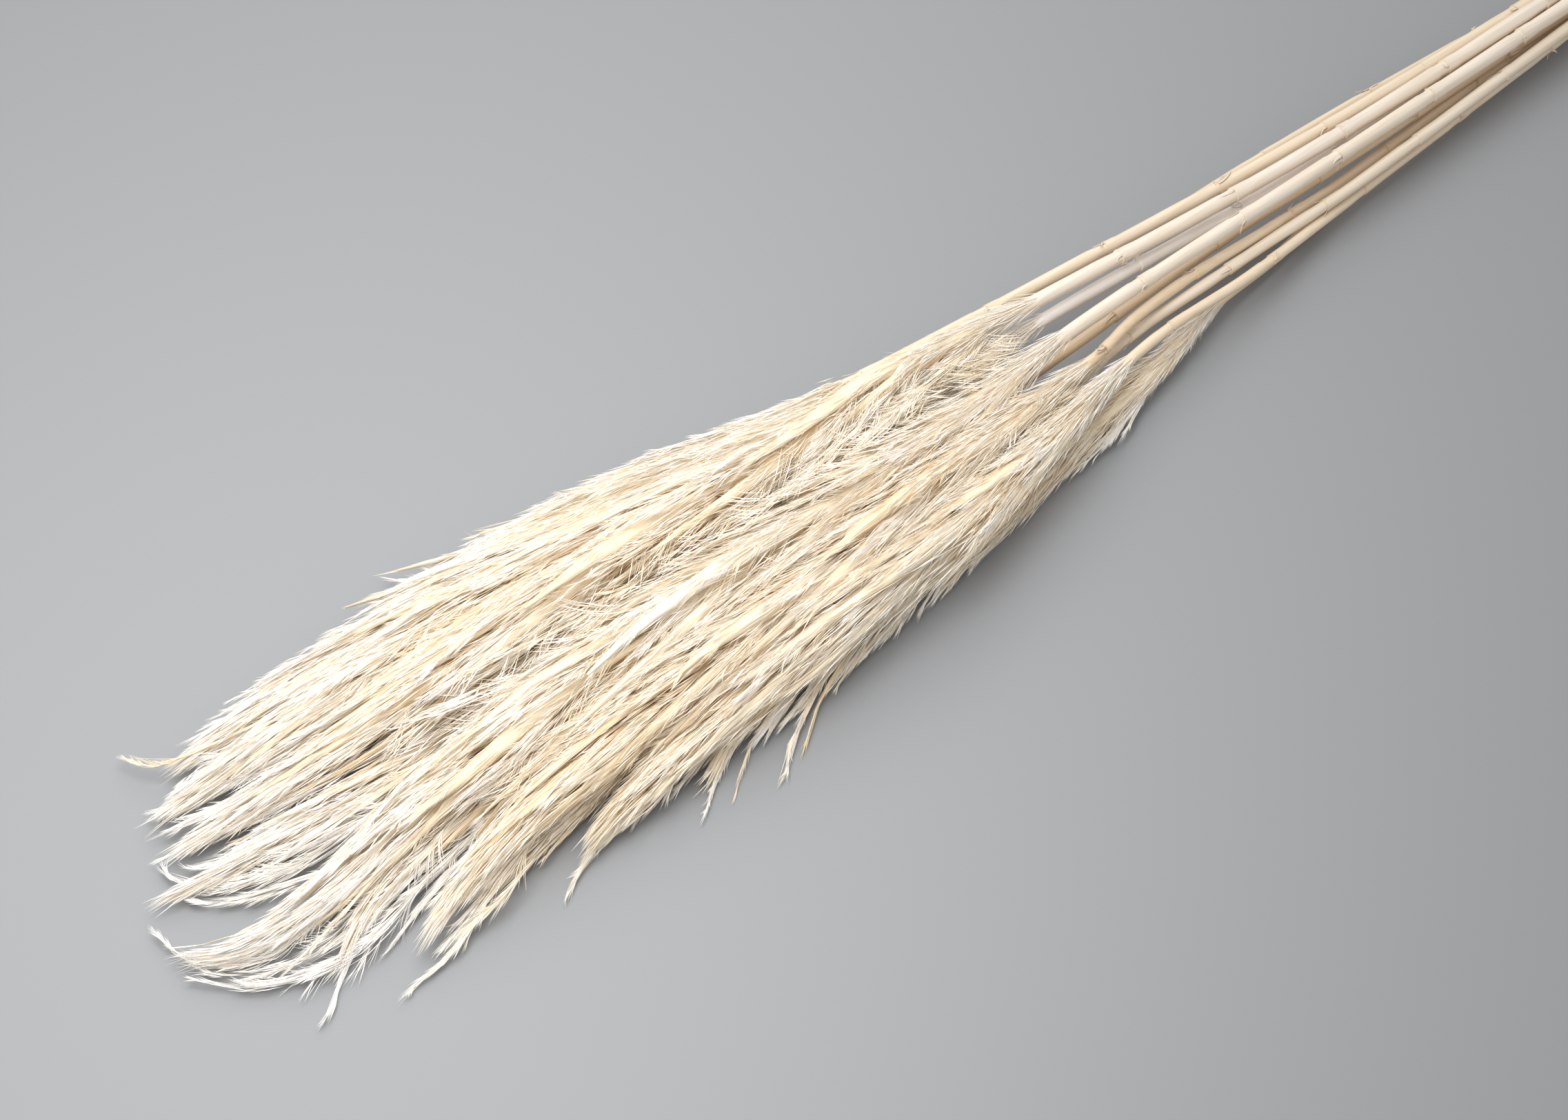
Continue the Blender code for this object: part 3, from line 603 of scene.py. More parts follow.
class Tress:
    """A flat tress of fibres along a path, turned to face away from its plume's middle."""

    def __init__(self, path, turns, wide, thick):
        path[:, 2] = np.maximum(path[:, 2], TRESS_FLOOR)
        flat, rise = frames_along(path)
        across, up = np.cos(turns)[:, None], np.sin(turns)[:, None]
        self.path = path
        self.side = rise * across - flat * up
        self.up = flat * across + rise * up
        shares = np.linspace(0.0, 1.0, len(path))
        self.wide = (wide * tress_girth(shares))[:, None]
        self.thick = (thick * tress_girth(shares))[:, None]
        self.length = float(np.linalg.norm(np.diff(path, axis=0), axis=1).sum())
        tail = path[-1] - path[-3]
        self.tail = tail / np.linalg.norm(tail)

    def at(self, place, across, lift, drift):
        """Points this share of the way along, out by shares of the girth, with a drift in millimetres."""
        past = np.maximum(place - 1.0, 0.0)[:, None] * self.length
        side, up = between(self.side, place), between(self.up, place)
        middle = between(self.path, place) + self.tail * past
        out_side = across[:, None] * between(self.wide, place) + drift[:, :1]
        out_up = lift[:, None] * between(self.thick, place) + drift[:, 1:]
        return middle + side * out_side + up * out_up

    def core(self, strands, tone):
        """The slim closed body under the tress's hairs, a tone darker than them, which is painted shade."""
        place = np.linspace(0.0, CORE_LONG, CORE_RINGS)
        wide = np.maximum(between(self.wide, place)[:, 0] * CORE_FILL, CORE_LEAST)
        thick = np.maximum(between(self.thick, place)[:, 0] * CORE_FILL, CORE_LEAST)
        strands.tube(between(self.path, place), between(self.side, place), between(self.up, place),
                     wide, thick, tone - 0.1, CORE_SIDES)

    def fibres(self, strands, kind, rate, tone, draw):
        """Hairs of one kind, in small tufts that share their root, their lean and their tone."""
        count = max(3, int(kind["rate"] * rate * self.length))
        tufts = count // TUFT_HAIRS + 1
        which = draw.integers(0, tufts, count)
        angle = (math.pi / 2 + draw.normal(0.0, 1.2, tufts))[which] + draw.normal(0.0, 0.3, count)
        share = draw.uniform(*kind["long"], tufts)[which] * draw.uniform(0.7, 1.1, count) / self.length
        share = np.minimum(share, 0.9)
        begin = draw.uniform(-0.02, 1.0, tufts)[which] + draw.normal(0.0, 0.012, count)
        begin = np.clip(begin, 0.0, 1.0) * (1.0 - BEFORE_TIP * share)
        root = draw.uniform(*kind["root"], tufts)[which] + draw.normal(0.0, 0.06, count)
        tip = draw.uniform(*kind["tip"], tufts)[which] + draw.normal(0.0, 0.10, count)
        sway = draw.normal(0.0, 0.55, (tufts, 2))[which] + draw.normal(0.0, 0.3, (count, 2))
        steps = np.linspace(0.0, 1.0, kind["stations"])
        stations = np.empty((count, len(steps), 3))
        for k, step in enumerate(steps):
            out = root + (tip - root) * step ** 1.4
            drift = sway * (1.4 * step**2 - 0.5 * step) * (0.5 + 1.3 * begin[:, None])
            stations[:, k] = self.at(begin + share * step, np.cos(angle) * out, np.sin(angle) * out, drift)
        stations[:, :, 2] = np.maximum(stations[:, :, 2], HAIR_FLOOR)
        radii = draw.uniform(*kind["radius"], count)
        base = tone + draw.normal(0.0, 0.07, tufts)[which] + draw.normal(0.0, 0.12, count) + 0.08 * begin
        # Each hair runs from darker at its root to paler at its tip: painted shade where roots lie under
        # other hair.
        strands.hairs(stations, radii, base[:, None] + np.linspace(-0.2, 0.1, len(steps)))

    def fill(self, strands, tone, draw, rate=1.0):
        """All the tress's hairs."""
        for kind in (SILK, NEEDLE, STRAY):
            self.fibres(strands, kind, rate, tone, draw)

    def dress(self, strands, tone, draw):
        """The hairs of a loose strand: fewer close ones, feathery ones and small spikelets."""
        self.fibres(strands, SILK, 1.2, tone, draw)
        self.fibres(strands, NEEDLE, 0.5, tone, draw)
        self.fibres(strands, FEATHER, 1.0, tone, draw)
        self.fibres(strands, SPIKELET, 0.4, tone, draw)


def level_tress(points, wide, thick):
    """A tress on a smooth curve through a few points, with its flat side up."""
    return Tress(smooth_path(points, PATH_STEPS), np.full(PATH_STEPS, math.pi / 2), wide, thick)


def lock_path(reed, start, finish, turn, twist, bulge, flare, sway):
    """Centre points and facing of one lock, swept along the plume and bent clear of its neighbours."""
    path, turns = [], []
    for share in np.linspace(0.0, 1.0, PATH_STEPS):
        x = start + (finish - start) * share
        facing = turn + twist * share
        across, up = math.cos(facing), math.sin(facing)
        y, z = line_at(reed, x)
        wanted = bulge * plume_reach(reed, x) * (1.0 - (1.0 - share) ** 2) + flare * share**3
        out = min(wanted, room(walls_at(reed, x), across, up, 2.2 * float(tress_girth(share))))
        wave = sway[0] * math.sin(sway[1] + 5.0 * share) * share
        lift = sway[2] * math.sin(sway[3] + 4.0 * share) * share
        path.append((x, y + across * out + wave, z + up * out + lift))
        turns.append(facing)
    return np.array(path), np.array(turns)


def curl(path, start_share, degrees):
    """Bends the end of a path round the upright axis, keeping its length."""
    steps = np.diff(path, axis=0)
    shares = np.linspace(0.0, 1.0, len(path))[:-1]
    angles = np.radians(degrees) * np.clip((shares - start_share) / (1.0 - start_share), 0.0, 1.0)
    turned = steps.copy()
    turned[:, 0] = steps[:, 0] * np.cos(angles) - steps[:, 1] * np.sin(angles)
    turned[:, 1] = steps[:, 0] * np.sin(angles) + steps[:, 1] * np.cos(angles)
    return np.vstack([path[:1], path[0] + np.cumsum(turned, axis=0)])


def rule_locks(reed, draw, count, spread, long_range, spare):
    """Start, end, direction and size of the locks that cover a plume, even on all its open sides."""
    neck, tip = reed["neck"], body_end(reed)
    span = neck - tip
    turn = draw.uniform(0.0, math.tau)
    locks = []
    for k in range(count):
        start = neck - 4.0 - span * spread * k / count
        long = min(draw.uniform(*long_range), start - tip - spare(draw))
        walls = walls_at(reed, start - 0.55 * long)
        for _ in range(LOCK_TRIES):
            turn += GOLDEN_TURN
            if room(walls, math.cos(turn), math.sin(turn), 0.0) > LEAST_ROOM:
                break
        bulge = draw.uniform(0.62, 0.95)
        flare = draw.uniform(-1.0, 3.0)
        locks.append((start, start - long, turn, bulge, flare, draw.uniform(0.85, 1.15)))
    return locks


def wisp_locks(reed, draw):
    """Locks that run out to the plume's own outer tips."""
    locks = []
    for x, y, z in reed["tips"]:
        line_y, line_z = line_at(reed, x)
        out = math.hypot(y - line_y, z - line_z)
        turn = math.atan2(z - line_z, y - line_y)
        start = min(reed["neck"] - 6.0, x + draw.uniform(95.0, 120.0))
        locks.append((start, x, turn, 0.8, out - 0.8 * plume_reach(reed, x), 0.8))
    return locks


def lock_tress(reed, lock, wide, thick, draw):
    """The tress that follows one lock, with its own sway, twist and curl."""
    start, finish, turn, bulge, flare, size = lock
    sway = (draw.uniform(0.2, 1.8), draw.uniform(0, 6.3), draw.uniform(0.1, 0.7), draw.uniform(0, 6.3))
    path, turns = lock_path(reed, start, finish, turn, draw.uniform(-TWIST, TWIST), bulge, flare, sway)
    path = curl(path, 0.55, draw.normal(0.0, 5.0))
    return Tress(path, turns, wide * size, thick * size)


def neck_fuzz(strands, reed, draw):
    """Short hairs that stand close round the culm where the plume starts, and hide its neck."""
    turn = draw.uniform(0.0, math.tau, FUZZ_HAIRS)
    start = reed["neck"] + draw.uniform(*FUZZ_START, FUZZ_HAIRS)
    long = draw.uniform(*FUZZ_LONG, FUZZ_HAIRS)
    stations = np.empty((FUZZ_HAIRS, 4, 3))
    for i in range(FUZZ_HAIRS):
        out = draw.uniform(*FUZZ_OUT)
        for k, step in enumerate((0.0, 0.33, 0.67, 1.0)):
            x = start[i] - long[i] * step
            lean = out * FUZZ_LEAN * step**1.3
            stations[i, k] = off_line(reed, x, turn[i], stem_radius(reed, x) - 0.2 + lean)
    stations[:, :, 2] = np.maximum(stations[:, :, 2], HAIR_FLOOR)
    # Darker at the root beside the culm, paler at the tip: painted shade.
    tones = reed["fibre"] + draw.normal(0.12, 0.1, FUZZ_HAIRS)[:, None] + np.linspace(-0.1, 0.08, 4)
    strands.hairs(stations, draw.uniform(*FUZZ_RADIUS, FUZZ_HAIRS), tones)


def fringe(strands, edge, tone, draw):
    """Small tufts along an edge of the bundle, whose ends stand out past it."""
    corners = np.array(edge["edge"], float)
    side = edge["side"]
    for i in range(edge["tufts"]):
        x, y, z = between(corners, np.array([(i + draw.uniform(0.0, 1.0)) / edge["tufts"]]))[0]
        back, out = draw.uniform(*FRINGE_BACK), draw.uniform(*FRINGE_OUT)
        points = [(x + back, y - 8.5 * side, z + edge["rise"]),
                  (x + 0.45 * back, y - 3.5 * side, z + 0.5 * edge["rise"]),
                  (x, y - 0.3 * side, z),
                  (x - draw.uniform(4.0, 10.0), y + out * side, z - 1.4)]
        wide = draw.uniform(*FRINGE_WIDE)
        tress = level_tress(points, wide, 0.6 * wide)
        tress.fill(strands, tone + draw.normal(0.0, 0.08), draw, 0.8)


def over_valley(near, far, x, part, lift):
    """A point over the valley between two plumes, this part of the way from one to the other."""
    ends = np.array([line_at(near, x), line_at(far, x)])
    y, z = ends[0] * (1.0 - part) + ends[1] * part
    reach = plume_reach(near, x) * (1.0 - part) + plume_reach(far, x) * part
    return (x, y, z + reach * (0.84 - 0.46 * math.sin(math.pi * part)) + lift)


def valley_needles(strands, near, far, start, finish, tufts, draw):
    """Slanting needles that lie in small tufts in the valley between two plumes, darker with painted shade
    the deeper they lie.
    """
    stations = []
    tones = []
    for _ in range(tufts):
        middle = draw.uniform(finish, start)
        part, long = draw.uniform(0.06, 0.94), draw.uniform(*VALLEY_NEEDLE_LONG)
        slant = (0.5 - part) * draw.uniform(0.2, 1.1) + draw.normal(0.0, 0.1)
        deep, tone = draw.uniform(-4.5, 0.4), draw.normal(0.0, 0.07)
        for _ in range(VALLEY_NEEDLES):
            x, own = middle + draw.normal(0.0, 1.6), part + draw.normal(0.0, 0.05)
            drop = draw.normal(0.0, 0.5)
            fan = slant + draw.normal(0.0, 0.05)
            stations.append([])
            for step in (0.0, 0.5, 1.0):
                lift = deep + drop + 1.6 * step**1.4
                stations[-1].append(over_valley(near, far, x - long * step, own + fan * step, lift))
            # Needles that lie deeper in the valley get a darker tone: painted shade.
            tones.append(tone + 0.03 * deep)
    tones = near["fibre"] + (np.array(tones) + draw.normal(0.02, 0.1, len(tones)))[:, None]
    radii = draw.uniform(*NEEDLE["radius"], len(stations))
    # Darker at the root, paler at the tip: painted shade.
    strands.hairs(np.array(stations), radii, tones + np.linspace(-0.1, 0.1, 3))


def valley_tresses(strands, near, far, start, finish, tresses, draw):
    """A few tresses that cross from one plume towards the other over the valley between them."""
    for i in range(tresses):
        root = start + (finish - start) * (i + draw.uniform(0.0, 1.0)) / tresses
        part, cross = draw.uniform(0.1, 0.9), draw.uniform(0.15, 0.45)
        long = draw.uniform(*VALLEY_TRESS_LONG)
        cross = math.copysign(cross, 0.5 - part)
        points = [over_valley(near, far, root - long * step, part + cross * step, 0.6 * step)
                  for step in (0.0, 0.33, 0.67, 1.0)]
        wide = draw.uniform(*VALLEY_TRESS_WIDE)
        tress = level_tress(points, wide, 0.3 * wide)
        tress.fill(strands, near["fibre"] + draw.normal(0.0, 0.06), draw, 0.55)


def coat(strands, reed, draw):
    """Short needles all over a plume, between its tresses, paler beside the neck and darker deep inside with
    painted shade.
    """
    neck, tip = reed["neck"], body_end(reed)
    places = np.linspace(neck + 2.0, tip + 14.0, COAT_PLACES)
    walls = [walls_at(reed, x) for x in places]
    stations = np.empty((COAT_NEEDLES, 3, 3))
    shades = np.empty(COAT_NEEDLES)
    for i in range(COAT_NEEDLES):
        place = draw.integers(COAT_PLACES)
        start = places[place] + draw.uniform(-4.0, 4.0)
        turn, swing = draw.uniform(0.0, math.tau), draw.normal(0.0, 0.12)
        long = draw.uniform(*NEEDLE["long"])
        depth, lean = draw.uniform(*COAT_DEPTH), draw.uniform(*COAT_LEAN)
        limit = room(walls[place], math.cos(turn), math.sin(turn), 0.5)
        for k, step in enumerate((0.0, 0.5, 1.0)):
            x = start - long * step
            out = min(depth * plume_reach(reed, x), limit) + lean * step**1.3
            stations[i, k] = off_line(reed, x, turn + swing * step, out)
        pale = COAT_PALE * math.exp(min(start - neck, 0.0) / COAT_PALE_RUN)
        # Deeper needles get a darker tone, which is painted shade.
        shades[i] = pale + COAT_PAINTED_SHADE * (depth - COAT_EVEN)
    stations[:, :, 2] = np.maximum(stations[:, :, 2], HAIR_FLOOR)
    shades += draw.normal(0.0, 0.12, COAT_NEEDLES)
    # Each needle is darker at its root than at its tip: painted shade.
    tones = reed["fibre"] + shades[:, None] + np.linspace(-0.15, 0.1, 3)
    strands.hairs(stations, draw.uniform(*NEEDLE["radius"], COAT_NEEDLES), tones)


def locks_and_sheets(strands, reed, grain):
    """The tresses on the same locks as the frame's, darker with painted shade, and thinner sheets of hair
    over and between them.
    """
    draw = random.Random(reed["name"])
    locks = rule_locks(reed, draw, reed["locks"], LOCK_SPREAD, LOCK_LONG, lambda _: 2.0)
    locks += wisp_locks(reed, draw)
    for lock in locks:
        end = max(lock[1], body_end(reed) + grain.uniform(*LOCK_END))
        lock = (lock[0], end, *lock[2:])
        taper = tip_taper(reed, end)
        tress = lock_tress(reed, lock, LOCK_WIDE * taper, LOCK_THICK * taper, grain)
        # Locks lie under the sheets and get a darker tone: painted shade in the depth of the plume.
        tone = reed["fibre"] + grain.normal(-0.2, 0.06)
        tress.core(strands, tone)
        tress.fill(strands, tone, grain, 0.4)
    over = random.Random(reed["name"] + "over")
    sheets = rule_locks(reed, over, int(reed["locks"] * SHEETS_PER_LOCK), SHEET_SPREAD, SHEET_LONG,
                        lambda source: source.uniform(*SHEET_END))
    for start, finish, turn, bulge, flare, size in sheets:
        lock = (start, finish, turn, 0.6 + 0.35 * bulge, 0.7 * flare, size * tip_taper(reed, finish))
        sheet = lock_tress(reed, lock, SHEET_WIDE, SHEET_THICK, grain)
        paler = SHEET_PALE * math.exp((start - reed["neck"]) / SHEET_PALE_RUN)
        sheet.fill(strands, reed["fibre"] + paler + grain.normal(0.0, 0.06), grain)


def loose_hair(strands, reed, draw):
    """What lies outside a plume's locks: its loose strands, its fringe and the hair in its valleys."""
    for name, wide, tone, points in WISPS:
        if name == reed["name"]:
            level_tress(points, wide, 0.7 * wide).dress(strands, tone, draw)
    for edge in FRINGES:
        if edge["reed"] == reed["name"]:
            fringe(strands, edge, reed["fibre"] + FRINGE_PALE, draw)
    for name, other, start, finish, tufts, tresses in VALLEYS:
        if name == reed["name"]:
            valley_needles(strands, reed, reed_named(other), start, finish, tufts, draw)
            valley_tresses(strands, reed, reed_named(other), start, finish, tresses, draw)


def rachis(strands, reed):
    """The thin stalk that goes on from the culm through the middle of a plume."""
    xs = np.linspace(reed["neck"], body_end(reed) + 30.0, 16)
    path = np.array([(x, *line_at(reed, x)) for x in xs])
    girth = np.linspace(stem_radius(reed, reed["neck"]) * 0.9, 0.7, len(xs))
    strands.tube(path, *frames_along(path), girth, girth, 0.3, 8)


def plume(reed, material):
    """All the fibres of one plume."""
    strands = Strands()
    grain = np.random.default_rng(int(reed["name"][-2:]))
    locks_and_sheets(strands, reed, grain)
    neck_fuzz(strands, reed, grain)
    coat(strands, reed, grain)
    loose_hair(strands, reed, grain)
    rachis(strands, reed)
    piece = strands.make(reed["name"].replace("reed", "plume") + "_fibres", material)
    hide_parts(reed["name"] + "_plume")
    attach(piece, "root")


def skin_radius(reed, x):
    """Radius of a culm's skin at x: each sheath swells a little towards the next joint's ring."""
    joints = joints_of(reed)
    near = min(joints, key=lambda joint: abs(x - joint))
    offsets, girths = zip(*reversed(JOINT_PROFILE))
    if offsets[0] <= x - near <= offsets[-1]:
        share = float(np.interp(x - near, offsets, girths))
    else:
        behind = [joint for joint in joints if joint > x]
        gone = (min(behind) - x) / reed["spacing"] if behind else 0.5
        share = 1.06 - 0.09 * min(max(gone, 0.0), 1.0)
    return stem_radius(reed, x) * share * reed.get("plump", CULM_PLUMP)


def culm(reed, material):
    """A jointed culm with a raised ring and torn scraps at each joint and a hollow cut end."""
    strands = Strands()
    draw = np.random.default_rng(100 + int(reed["name"][-2:]))
    top, neck = reed["line"][0][0], reed["neck"]
    joints = joints_of(reed)
    stations = set(np.arange(neck, top, CULM_STEP)) | {top}
    for joint in joints:
        stations = {x for x in stations if abs(x - joint) > CLEAR_OF_JOINT}
        stations |= {joint + offset for offset, _ in JOINT_PROFILE}
    xs = sorted((x for x in stations if neck <= x <= top), reverse=True)
    radii = np.array([skin_radius(reed, x) for x in xs])
    path = np.array([(x, *line_at(reed, x)) for x in xs])
    side, up = frames_along(path)
    tones = reed["tone"] + 0.04 * np.sin(np.array(xs) / 23.0 + draw.uniform(0, 6.0))
    # Each joint's ring is darker: partly its own colour, partly painted shade under the ring's edge.
    for joint in joints:
        ring = np.abs(np.array(xs) - joint) < RING_HALF
        tones[ring] -= JOINT_DARK_AND_SHADE
    hollow = np.array([(x, *line_at(reed, x)) for x in (top - HOLLOW_DEEP, top - 0.4, top)])
    hollow_radii = radii[0] * np.array([HOLLOW_SHARE * 0.9, HOLLOW_SHARE, HOLLOW_SHARE * 1.08])
    path = np.vstack([hollow, path])
    side = np.vstack([side[[0, 0, 0]], side])
    up = np.vstack([up[[0, 0, 0]], up])
    radii = np.concatenate([hollow_radii, radii])
    # The hollow gets a dark tone: painted shade.
    tones = np.concatenate([np.full(3, HOLLOW_PAINTED_SHADE), tones])
    strands.tube(path, side, up, radii, radii, tones, CULM_SIDES)
    for joint in joints:
        for _ in range(draw.integers(1, 4)):
            scrap(strands, reed, joint, draw)
        if draw.random() < 0.6:
            thread(strands, reed, joint, draw)
    piece = strands.make(reed["name"].replace("reed", "culm"), material)
    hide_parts(reed["name"] + "_stem")
    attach(piece, "root")


def on_skin(reed, x, turn, out):
    """A point this far outside a culm's skin, in the direction turn."""
    return off_line(reed, x, turn, skin_radius(reed, x) + out)


def scrap(strands, reed, joint, draw):
    """A torn flap of sheath at a joint: flat where it is held, lifted and curled at its end."""
    turn = draw.uniform(-0.6, math.pi + 0.6)
    long = draw.uniform(*SCRAP_LONG) * (2.0 if draw.random() < 0.15 else 1.0)
    way = -1.0 if draw.random() < 0.7 else 1.0
    lift, swing = draw.uniform(0.3, 2.2), draw.normal(0.0, 0.5)
    points = []
    for s in (0.0, 0.3, 0.6, 0.85, 1.0):
        points.append(on_skin(reed, joint + way * long * s, turn + swing * s**2, 0.05 + lift * s**2))
    path = smooth_path(points, len(SCRAP_TAPER))
    flat, rise = frames_along(path)
    side = rise * math.cos(turn) - flat * math.sin(turn)
    up = flat * math.cos(turn) + rise * math.sin(turn)
    wide = draw.uniform(*SCRAP_WIDE) * SCRAP_TAPER
    tones = np.linspace(reed["tone"] - 0.05, reed["tone"] + 0.3, len(path))
    strands.tube(path, side, up, wide, SCRAP_THICK, tones, 4)


def thread(strands, reed, joint, draw):
    """A fine thread of sheath that goes part of the way round a joint and stands off at its end."""
    start, sweep = draw.uniform(0.0, 2.2), draw.uniform(1.2, 2.4)
    points = []
    for s in np.linspace(0.0, 1.0, 7):
        x = joint + draw.uniform(-0.3, 0.3) - 1.2 * s
        points.append(on_skin(reed, x, start + sweep * s, 0.12 + 1.8 * max(0.0, s - 0.6) ** 1.2))
    path = smooth_path(points, len(THREAD_TAPER))
    path[:, 2] = np.maximum(path[:, 2], 0.3)
    girth = THREAD_RADIUS * THREAD_TAPER
    strands.tube(path, *tube_frames(path), girth, girth, reed["tone"] + 0.1, 4)


def tube_frames(path):
    """Side and up vectors along a path of any direction, carried from point to point without twist."""
    along = directions(path)
    side = np.empty_like(along)
    guide = np.cross(along[0], [1.0, 0.3, 0.2])
    for i, direction in enumerate(along):
        guide = guide - direction * np.dot(guide, direction)
        guide /= np.linalg.norm(guide)
        side[i] = guide
    return side, np.cross(side, along)


def tie_support(turn):
    """How far the culms reach from the frame's X axis towards one direction, under the tie."""
    across, up = math.cos(turn), math.sin(turn)
    half = TIE_TURNS * TURN_WIDE / 2
    reaches = []
    for reed in REEDS:
        for x in (TIE_X - half, TIE_X, TIE_X + half):
            y, z = line_at(reed, x)
            reaches.append(y * across + z * up + stem_radius(reed, x))
    return max(reaches)


def tie_loop(skin):
    """Corners (Y, Z) of a closed loop round the culms, skin outside them, rounded a little."""
    step = math.tau / TIE_SIDES
    reaches = np.array([tie_support(k * step) + skin for k in range(TIE_SIDES)])
    reaches = (np.roll(reaches, 1) + 2 * reaches + np.roll(reaches, -1)) / 4
    slopes = (np.roll(reaches, -1) - np.roll(reaches, 1)) / (2 * step)
    turns = np.arange(TIE_SIDES) * step
    y = reaches * np.cos(turns) - slopes * np.sin(turns)
    z = reaches * np.sin(turns) + slopes * np.cos(turns)
    return np.stack([y, np.maximum(z, TIE_FLOOR)], axis=1)


def band(strands, path, wide, thick, tone):
    """A flat raffia strip along a path, turned to face away from the middle of the bundle."""
    along = directions(path)
    out = path * (0.0, 1.0, 1.0) - (0.0, *TIE_MIDDLE)
    out -= along * np.sum(out * along, axis=1, keepdims=True)
    out /= np.linalg.norm(out, axis=1, keepdims=True)
    strands.tube(path, np.cross(out, along), out, wide, thick, tone, 6)


def tie_turns(strands, draw):
    """The turns of the tie round the culms, each of a few split strips that waver a little."""
    half = TIE_TURNS * TURN_WIDE / 2
    for turn in range(TIE_TURNS):
        for strip in range(TIE_STRIPS):
            place = (turn + (strip + 0.5) / TIE_STRIPS) * TURN_WIDE - half
            wave = draw.uniform(0.0, 6.0)
            loop = tie_loop(TIE_GAP + draw.uniform(0.25, 0.9))
            turns = np.arange(TIE_SIDES + 5)
            xs = TIE_X + place + 0.25 * np.sin(turns * math.tau / TIE_SIDES * 2 + wave)
            path = np.stack([xs, loop[turns % TIE_SIDES, 0], loop[turns % TIE_SIDES, 1]], axis=1)
            path[:, 0] += 0.5 * (turns / TIE_SIDES - 0.5)
            wide = TURN_WIDE / TIE_STRIPS * draw.uniform(0.45, 0.62)
            band(strands, path, wide, STRIP_THICK, draw.normal(0.5, 0.16))


def tie_ends(strands, top, draw):
    """The loose ends of the tie, which leave the knot at top by turns to both sides and droop."""
    for end in range(TIE_ENDS):
        side = 1.0 if end % 2 else -1.0
        long, lean = draw.uniform(*END_LONG), draw.uniform(0.3, 1.0)
        points = [(TIE_X - 4.0 * side, top[0] - 1.5 * side, top[1] + 0.2), (TIE_X, top[0], top[1] + 1.4),
                  (TIE_X + 4.0 * side, top[0] + 2.5 * side, top[1] + 0.9)]
        x, y, z = points[-1]
        for s in (0.25, 0.5, 0.75, 1.0):
            drop = max(z - s * s * (z - 0.5), 0.5)
            points.append((x + side * long * s * lean, y + side * long * s * 0.9, drop))
        path = smooth_path(points, END_STEPS)
        taper = np.clip((1.0 - np.linspace(0.0, 1.0, END_STEPS)) * 4.0, 0.15, 1.0) * draw.uniform(0.5, 0.9)
        strands.tube(path, *tube_frames(path), taper, END_THICK, draw.normal(0.5, 0.15), 6)


def tie_knot(strands, top, draw):
    """The knot at top: strips wrapped side by side over the turns."""
    for wrap in range(KNOT_WRAPS):
        x = TIE_X + KNOT_STEP * (wrap - (KNOT_WRAPS - 1) / 2)
        turns = np.linspace(-0.3, math.pi + 0.3, 14)
        path = np.stack([x + 0.8 * np.cos(turns), top[0] + 2.1 * np.cos(turns),
                         top[1] - 0.4 + 2.0 * np.sin(turns)], axis=1)
        strands.tube(path, *tube_frames(path), 0.5, 0.25, draw.normal(0.5, 0.12), 6)


def tie(material):
    """A raffia binder: flat split strips wound three times round the culms and knotted on top."""
    strands = Strands()
    draw = np.random.default_rng(TIE_SEED)
    tie_turns(strands, draw)
    top = tie_loop(TIE_GAP + KNOT_LIFT)[TIE_SIDES // 4]
    tie_ends(strands, top, draw)
    tie_knot(strands, top, draw)
    piece = strands.make("tie_raffia", material)
    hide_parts("tie")
    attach(piece, "root")


def material_with(name, roughness):
    """A new Principled material, its nodes and its shader."""
    material = bpy.data.materials.new(name)
    material.use_nodes = True
    shader = material.node_tree.nodes["Principled BSDF"]
    shader.inputs["Roughness"].default_value = roughness
    return material, material.node_tree, shader


def tone_ramp(tree, stops):
    """A colour ramp read from the mesh's tone attribute."""
    tone = tree.nodes.new("ShaderNodeAttribute")
    tone.attribute_name = "tone"
    ramp = tree.nodes.new("ShaderNodeValToRGB")
    while len(ramp.color_ramp.elements) < len(stops):
        ramp.color_ramp.elements.new(0.5)
    for element, (place, colour) in zip(ramp.color_ramp.elements, stops):
        element.position = place
        element.color = (*colour, 1.0)
    return tone, ramp


def noise(tree, scale, stretch, detail):
    """A noise texture in object space, with its own scale along each axis."""
    place = tree.nodes.new("ShaderNodeTexCoord")
    mapping = tree.nodes.new("ShaderNodeMapping")
    mapping.inputs["Scale"].default_value = stretch
    texture = tree.nodes.new("ShaderNodeTexNoise")
    texture.inputs["Scale"].default_value = scale
    texture.inputs["Detail"].default_value = detail
    tree.links.new(place.outputs["Object"], mapping.inputs["Vector"])
    tree.links.new(mapping.outputs["Vector"], texture.inputs["Vector"])
    return texture


def multiplied(tree, first, second, factor):
    """One colour output multiplied by another, with a fixed factor."""
    mix = tree.nodes.new("ShaderNodeMix")
    mix.data_type = "RGBA"
    mix.blend_type = "MULTIPLY"
    mix.inputs["Factor"].default_value = factor
    tree.links.new(first, mix.inputs["A"])
    tree.links.new(second, mix.inputs["B"])
    return mix.outputs["Result"]


